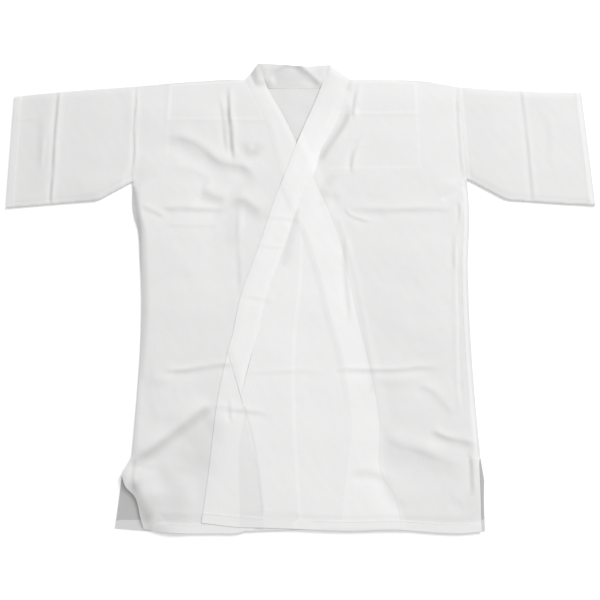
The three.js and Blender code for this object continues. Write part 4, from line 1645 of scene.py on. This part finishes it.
# %% Node tree that sews along a line
def stitch_tree(material):
    tree = bpy.data.node_groups.new("running stitch", "GeometryNodeTree")
    face = tree.interface
    face.new_socket("Geometry", in_out="INPUT", socket_type="NodeSocketGeometry")
    settings = {
        "Pitch": STITCH_PITCH * MM,
        "Stitch length": STITCH_LENGTH * MM,
        "Thread radius": THREAD_RADIUS * MM,
        "Seed": STITCH_SEED,
    }
    sizes = {}
    for name, value in settings.items():
        kind = "NodeSocketInt" if name == "Seed" else "NodeSocketFloat"
        socket = face.new_socket(name, in_out="INPUT", socket_type=kind)
        sizes[socket.identifier] = value
    face.new_socket("Geometry", in_out="OUTPUT", socket_type="NodeSocketGeometry")
    link = tree.links.new
    start = node(tree, "NodeGroupInput", (-900, 0))
    end = node(tree, "NodeGroupOutput", (900, 0))

    curve = node(tree, "GeometryNodeMeshToCurve", (-700, 0))
    spaced = node(tree, "GeometryNodeResampleCurve", (-500, 0), mode="LENGTH")
    link(start.outputs["Geometry"], curve.inputs["Mesh"])
    link(curve.outputs["Curve"], spaced.inputs["Curve"])
    link(start.outputs["Pitch"], spaced.inputs["Length"])

    thread = node(tree, "GeometryNodeMeshCylinder", (-500, -300), {"Vertices": THREAD_SIDES})
    link(start.outputs["Thread radius"], thread.inputs["Radius"])
    link(start.outputs["Stitch length"], thread.inputs["Depth"])

    tangent = node(tree, "GeometryNodeInputTangent", (-500, -600))
    turned = node(tree, "FunctionNodeAlignRotationToVector", (-300, -600), axis="Z")
    link(tangent.outputs["Tangent"], turned.inputs["Vector"])
    chance = node(tree, "FunctionNodeRandomValue", (-300, -400), data_type="FLOAT")
    chance.inputs["Min"].default_value = STITCH_SHORTEST
    chance.inputs["Max"].default_value = STITCH_LONGEST
    link(start.outputs["Seed"], chance.inputs["Seed"])

    placed = node(tree, "GeometryNodeInstanceOnPoints", (0, 0))
    link(spaced.outputs["Curve"], placed.inputs["Points"])
    link(thread.outputs["Mesh"], placed.inputs["Instance"])
    link(turned.outputs["Rotation"], placed.inputs["Rotation"])
    link(chance.outputs["Value"], placed.inputs["Scale"])

    real = node(tree, "GeometryNodeRealizeInstances", (300, 0))
    coloured = node(tree, "GeometryNodeSetMaterial", (600, 0), {"Material": material})
    link(placed.outputs["Instances"], real.inputs["Geometry"])
    link(real.outputs["Geometry"], coloured.inputs["Geometry"])
    link(coloured.outputs["Geometry"], end.inputs["Geometry"])
    return tree, sizes


sewing, sewing_sizes = stitch_tree(gauze)
print("inputs of the tree:", len(sewing_sizes))


# %% Sew along lines that lie on the cloth
def sew_along(name, lines, surface):
    """A mesh of short threads along every line, at the height of the cloth under it."""
    corners = []
    links = []
    for line in lines:
        curve = flowing(line, SEAM_STEP)
        x, y = split(curve)
        z = surface(x, y) + THREAD_SUNK * THREAD_RADIUS
        first = len(corners)
        corners += [(px * MM, py * MM, pz * MM) for px, py, pz in zip(x, y, z)]
        links += [(i, i + 1) for i in range(first, len(corners) - 1)]
    mesh = bpy.data.meshes.new(name + "_line")
    mesh.from_pydata(corners, links, [])
    seam = add_object(name, mesh)
    modifier = seam.modifiers.new("stitches", "NODES")
    modifier.node_group = sewing
    for identifier, value in sewing_sizes.items():
        modifier[identifier] = value
    bpy.context.view_layer.update()
    evaluated = seam.evaluated_get(bpy.context.evaluated_depsgraph_get())
    sewn = bpy.data.meshes.new_from_object(evaluated)
    sewn.name = name
    seam.modifiers.clear()
    seam.data = sewn
    bpy.data.meshes.remove(mesh)
    return seam


def inner_hem(line, inwards):
    return offset_line(line, inwards)[1:-1]


print("line of the left hem:", len(inner_hem(FRONT_HEM_LEFT, -HEM_WIDTH)), "points")


# %% Heights of the cloth under each seam
def top_right_front(x, y):
    return on_back(x, y) + hemmed(FRONT_HEM_RIGHT, HEM_WIDTH)(x, y)


def top_left_front(x, y):
    return on_right_front(x, y) + hemmed(FRONT_HEM_LEFT, HEM_WIDTH)(x, y)


def top_sleeve(edges):
    cuff = dict(edges)["cuff"]
    return lambda x, y: sleeve_low(x, y) + hemmed(cuff, CUFF_WIDTH)(x, y)


def cuff_line(edges, outwards):
    cuff = dict(edges)["cuff"]
    (ax, ay), (bx, by) = cuff
    inner = -outwards * (CUFF_WIDTH - SEAM_INSET)
    return [(ax + inner, ay - CUFF_CLEAR), (bx + inner, by + CUFF_CLEAR)]


def fell_seam(side, inwards):
    """The flat seam line just inside a side edge."""
    return moved(side[1:-1], inwards, 0)


stitches_right_front = sew_along(
    "stitches_right_front",
    [inner_hem(FRONT_HEM_RIGHT, HEM_WIDTH - SEAM_INSET)],
    top_right_front,
)
stitches_left_front = sew_along(
    "stitches_left_front",
    [inner_hem(FRONT_HEM_LEFT, SEAM_INSET - HEM_WIDTH), fell_seam(SIDE_LEFT, -ALLOWANCE)],
    top_left_front,
)
stitches_strip = sew_along(
    "stitches_okumi_left",
    [[(-157, -435), (-60, -443)]],
    lambda x, y: on_right_front(x, y) + GAUZE + HEM_RISE,
)
stitches_right_cuff = sew_along(
    "stitches_cuff_right", [cuff_line(sleeve_right, -1)], top_sleeve(sleeve_right)
)
stitches_left_cuff = sew_along(
    "stitches_cuff_left", [cuff_line(sleeve_left, 1)], top_sleeve(sleeve_left)
)
front_seams = (stitches_right_front, stitches_left_front, stitches_strip)
for seam in (*front_seams, stitches_right_cuff, stitches_left_cuff):
    print(seam.name, len(seam.data.polygons), "faces")

# %% [markdown]
# ## Floor and light
# Studio shots of white cloth use a white table and much soft light, with one gentle lamp low from
# the side so that folds still show. The table is so bright that it turns pure white.

# %% Lay the floor
TABLE_HALF = 6
TABLE_TOP = -0.0006
TABLE_GLOW = 0.06
around = [(-1, -1), (1, -1), (1, 1), (-1, 1)]
table_corners = [(TABLE_HALF * across, TABLE_HALF * up, TABLE_TOP) for across, up in around]
floor_mesh = bpy.data.meshes.new("floor")
floor_mesh.from_pydata(table_corners, [], [(0, 1, 2, 3)])
floor = add_object("floor", floor_mesh)
floor_paint = bpy.data.materials.new("white table")
floor_paint.use_nodes = True
floor_shader = floor_paint.node_tree.nodes["Principled BSDF"]
floor_shader.inputs["Base Color"].default_value = (1, 1, 1, 1)
floor_shader.inputs["Roughness"].default_value = 1
floor_shader.inputs["Specular IOR Level"].default_value = 0
floor_shader.inputs["Emission Color"].default_value = (1, 1, 1, 1)
floor_shader.inputs["Emission Strength"].default_value = TABLE_GLOW
floor_mesh.materials.append(floor_paint)
print("floor laid")


# %% Hang the lights
LAMP_PLACE = (3.97, 4.73, 3.29)
LAMP_SIZE = 2.6
LAMP_POWER = 390
ROOM_LIGHT = 0.70

lamp_data = bpy.data.lights.new("side lamp", "AREA")
lamp_data.size = LAMP_SIZE
lamp_data.energy = LAMP_POWER
lamp = add_object("side lamp", lamp_data)
lamp.location = LAMP_PLACE
lamp.rotation_euler = (-Vector(LAMP_PLACE)).to_track_quat("-Z", "Y").to_euler()
world = bpy.data.worlds.new("studio")
world.use_nodes = True
world.node_tree.nodes["Background"].inputs["Color"].default_value = (1, 1, 1, 1)
world.node_tree.nodes["Background"].inputs["Strength"].default_value = ROOM_LIGHT
bpy.context.scene.world = world
print("lights hung")

Cut = namedtuple("Cut", "piece node slot width length area rests sewn")
CUTS = [
    Cut(right_half, "body_right", "cotton_gauze", 0.33, 1.78, None, [], stitches_right_front),
    Cut(left_half, "body_left", "cotton_gauze", 0.33, 1.78, None, [], stitches_left_front),
    Cut(right_sleeve, "sleeve_right", "cotton_gauze", 0.246, 0.51, None, [], stitches_right_cuff),
    Cut(left_sleeve, "sleeve_left", "cotton_gauze", 0.246, 0.51, None, [], stitches_left_cuff),
    Cut(lining, "shoulder_lining", "cotton_gauze", 0.504, 0.29, None, ["body_right"], None),
    Cut(strip_on_top, "okumi_left", "cotton_gauze", 0.11, 0.31, 0.0185, ["body_right"], stitches_strip),
    Cut(strip_below, "okumi_right", "cotton_gauze", 0.10, 0.18, 0.0125, ["body_right"], None),
    Cut(band_left, "collar_left", "collar_cotton", 0.048, 0.75, None, ["body_right"], None),
    Cut(band_right, "collar_right", "collar_cotton", 0.048, 0.80, None, ["body_right"], None),
    Cut(band_neck, "collar_neck", "collar_cotton", 0.05, 0.145, None, [], None),
]
for cut in CUTS:
    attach(cut.piece, "root")
    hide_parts(cut.node)
    if cut.sewn:
        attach(cut.sewn, "root")
print("declared", len(CUTS), "sheets")
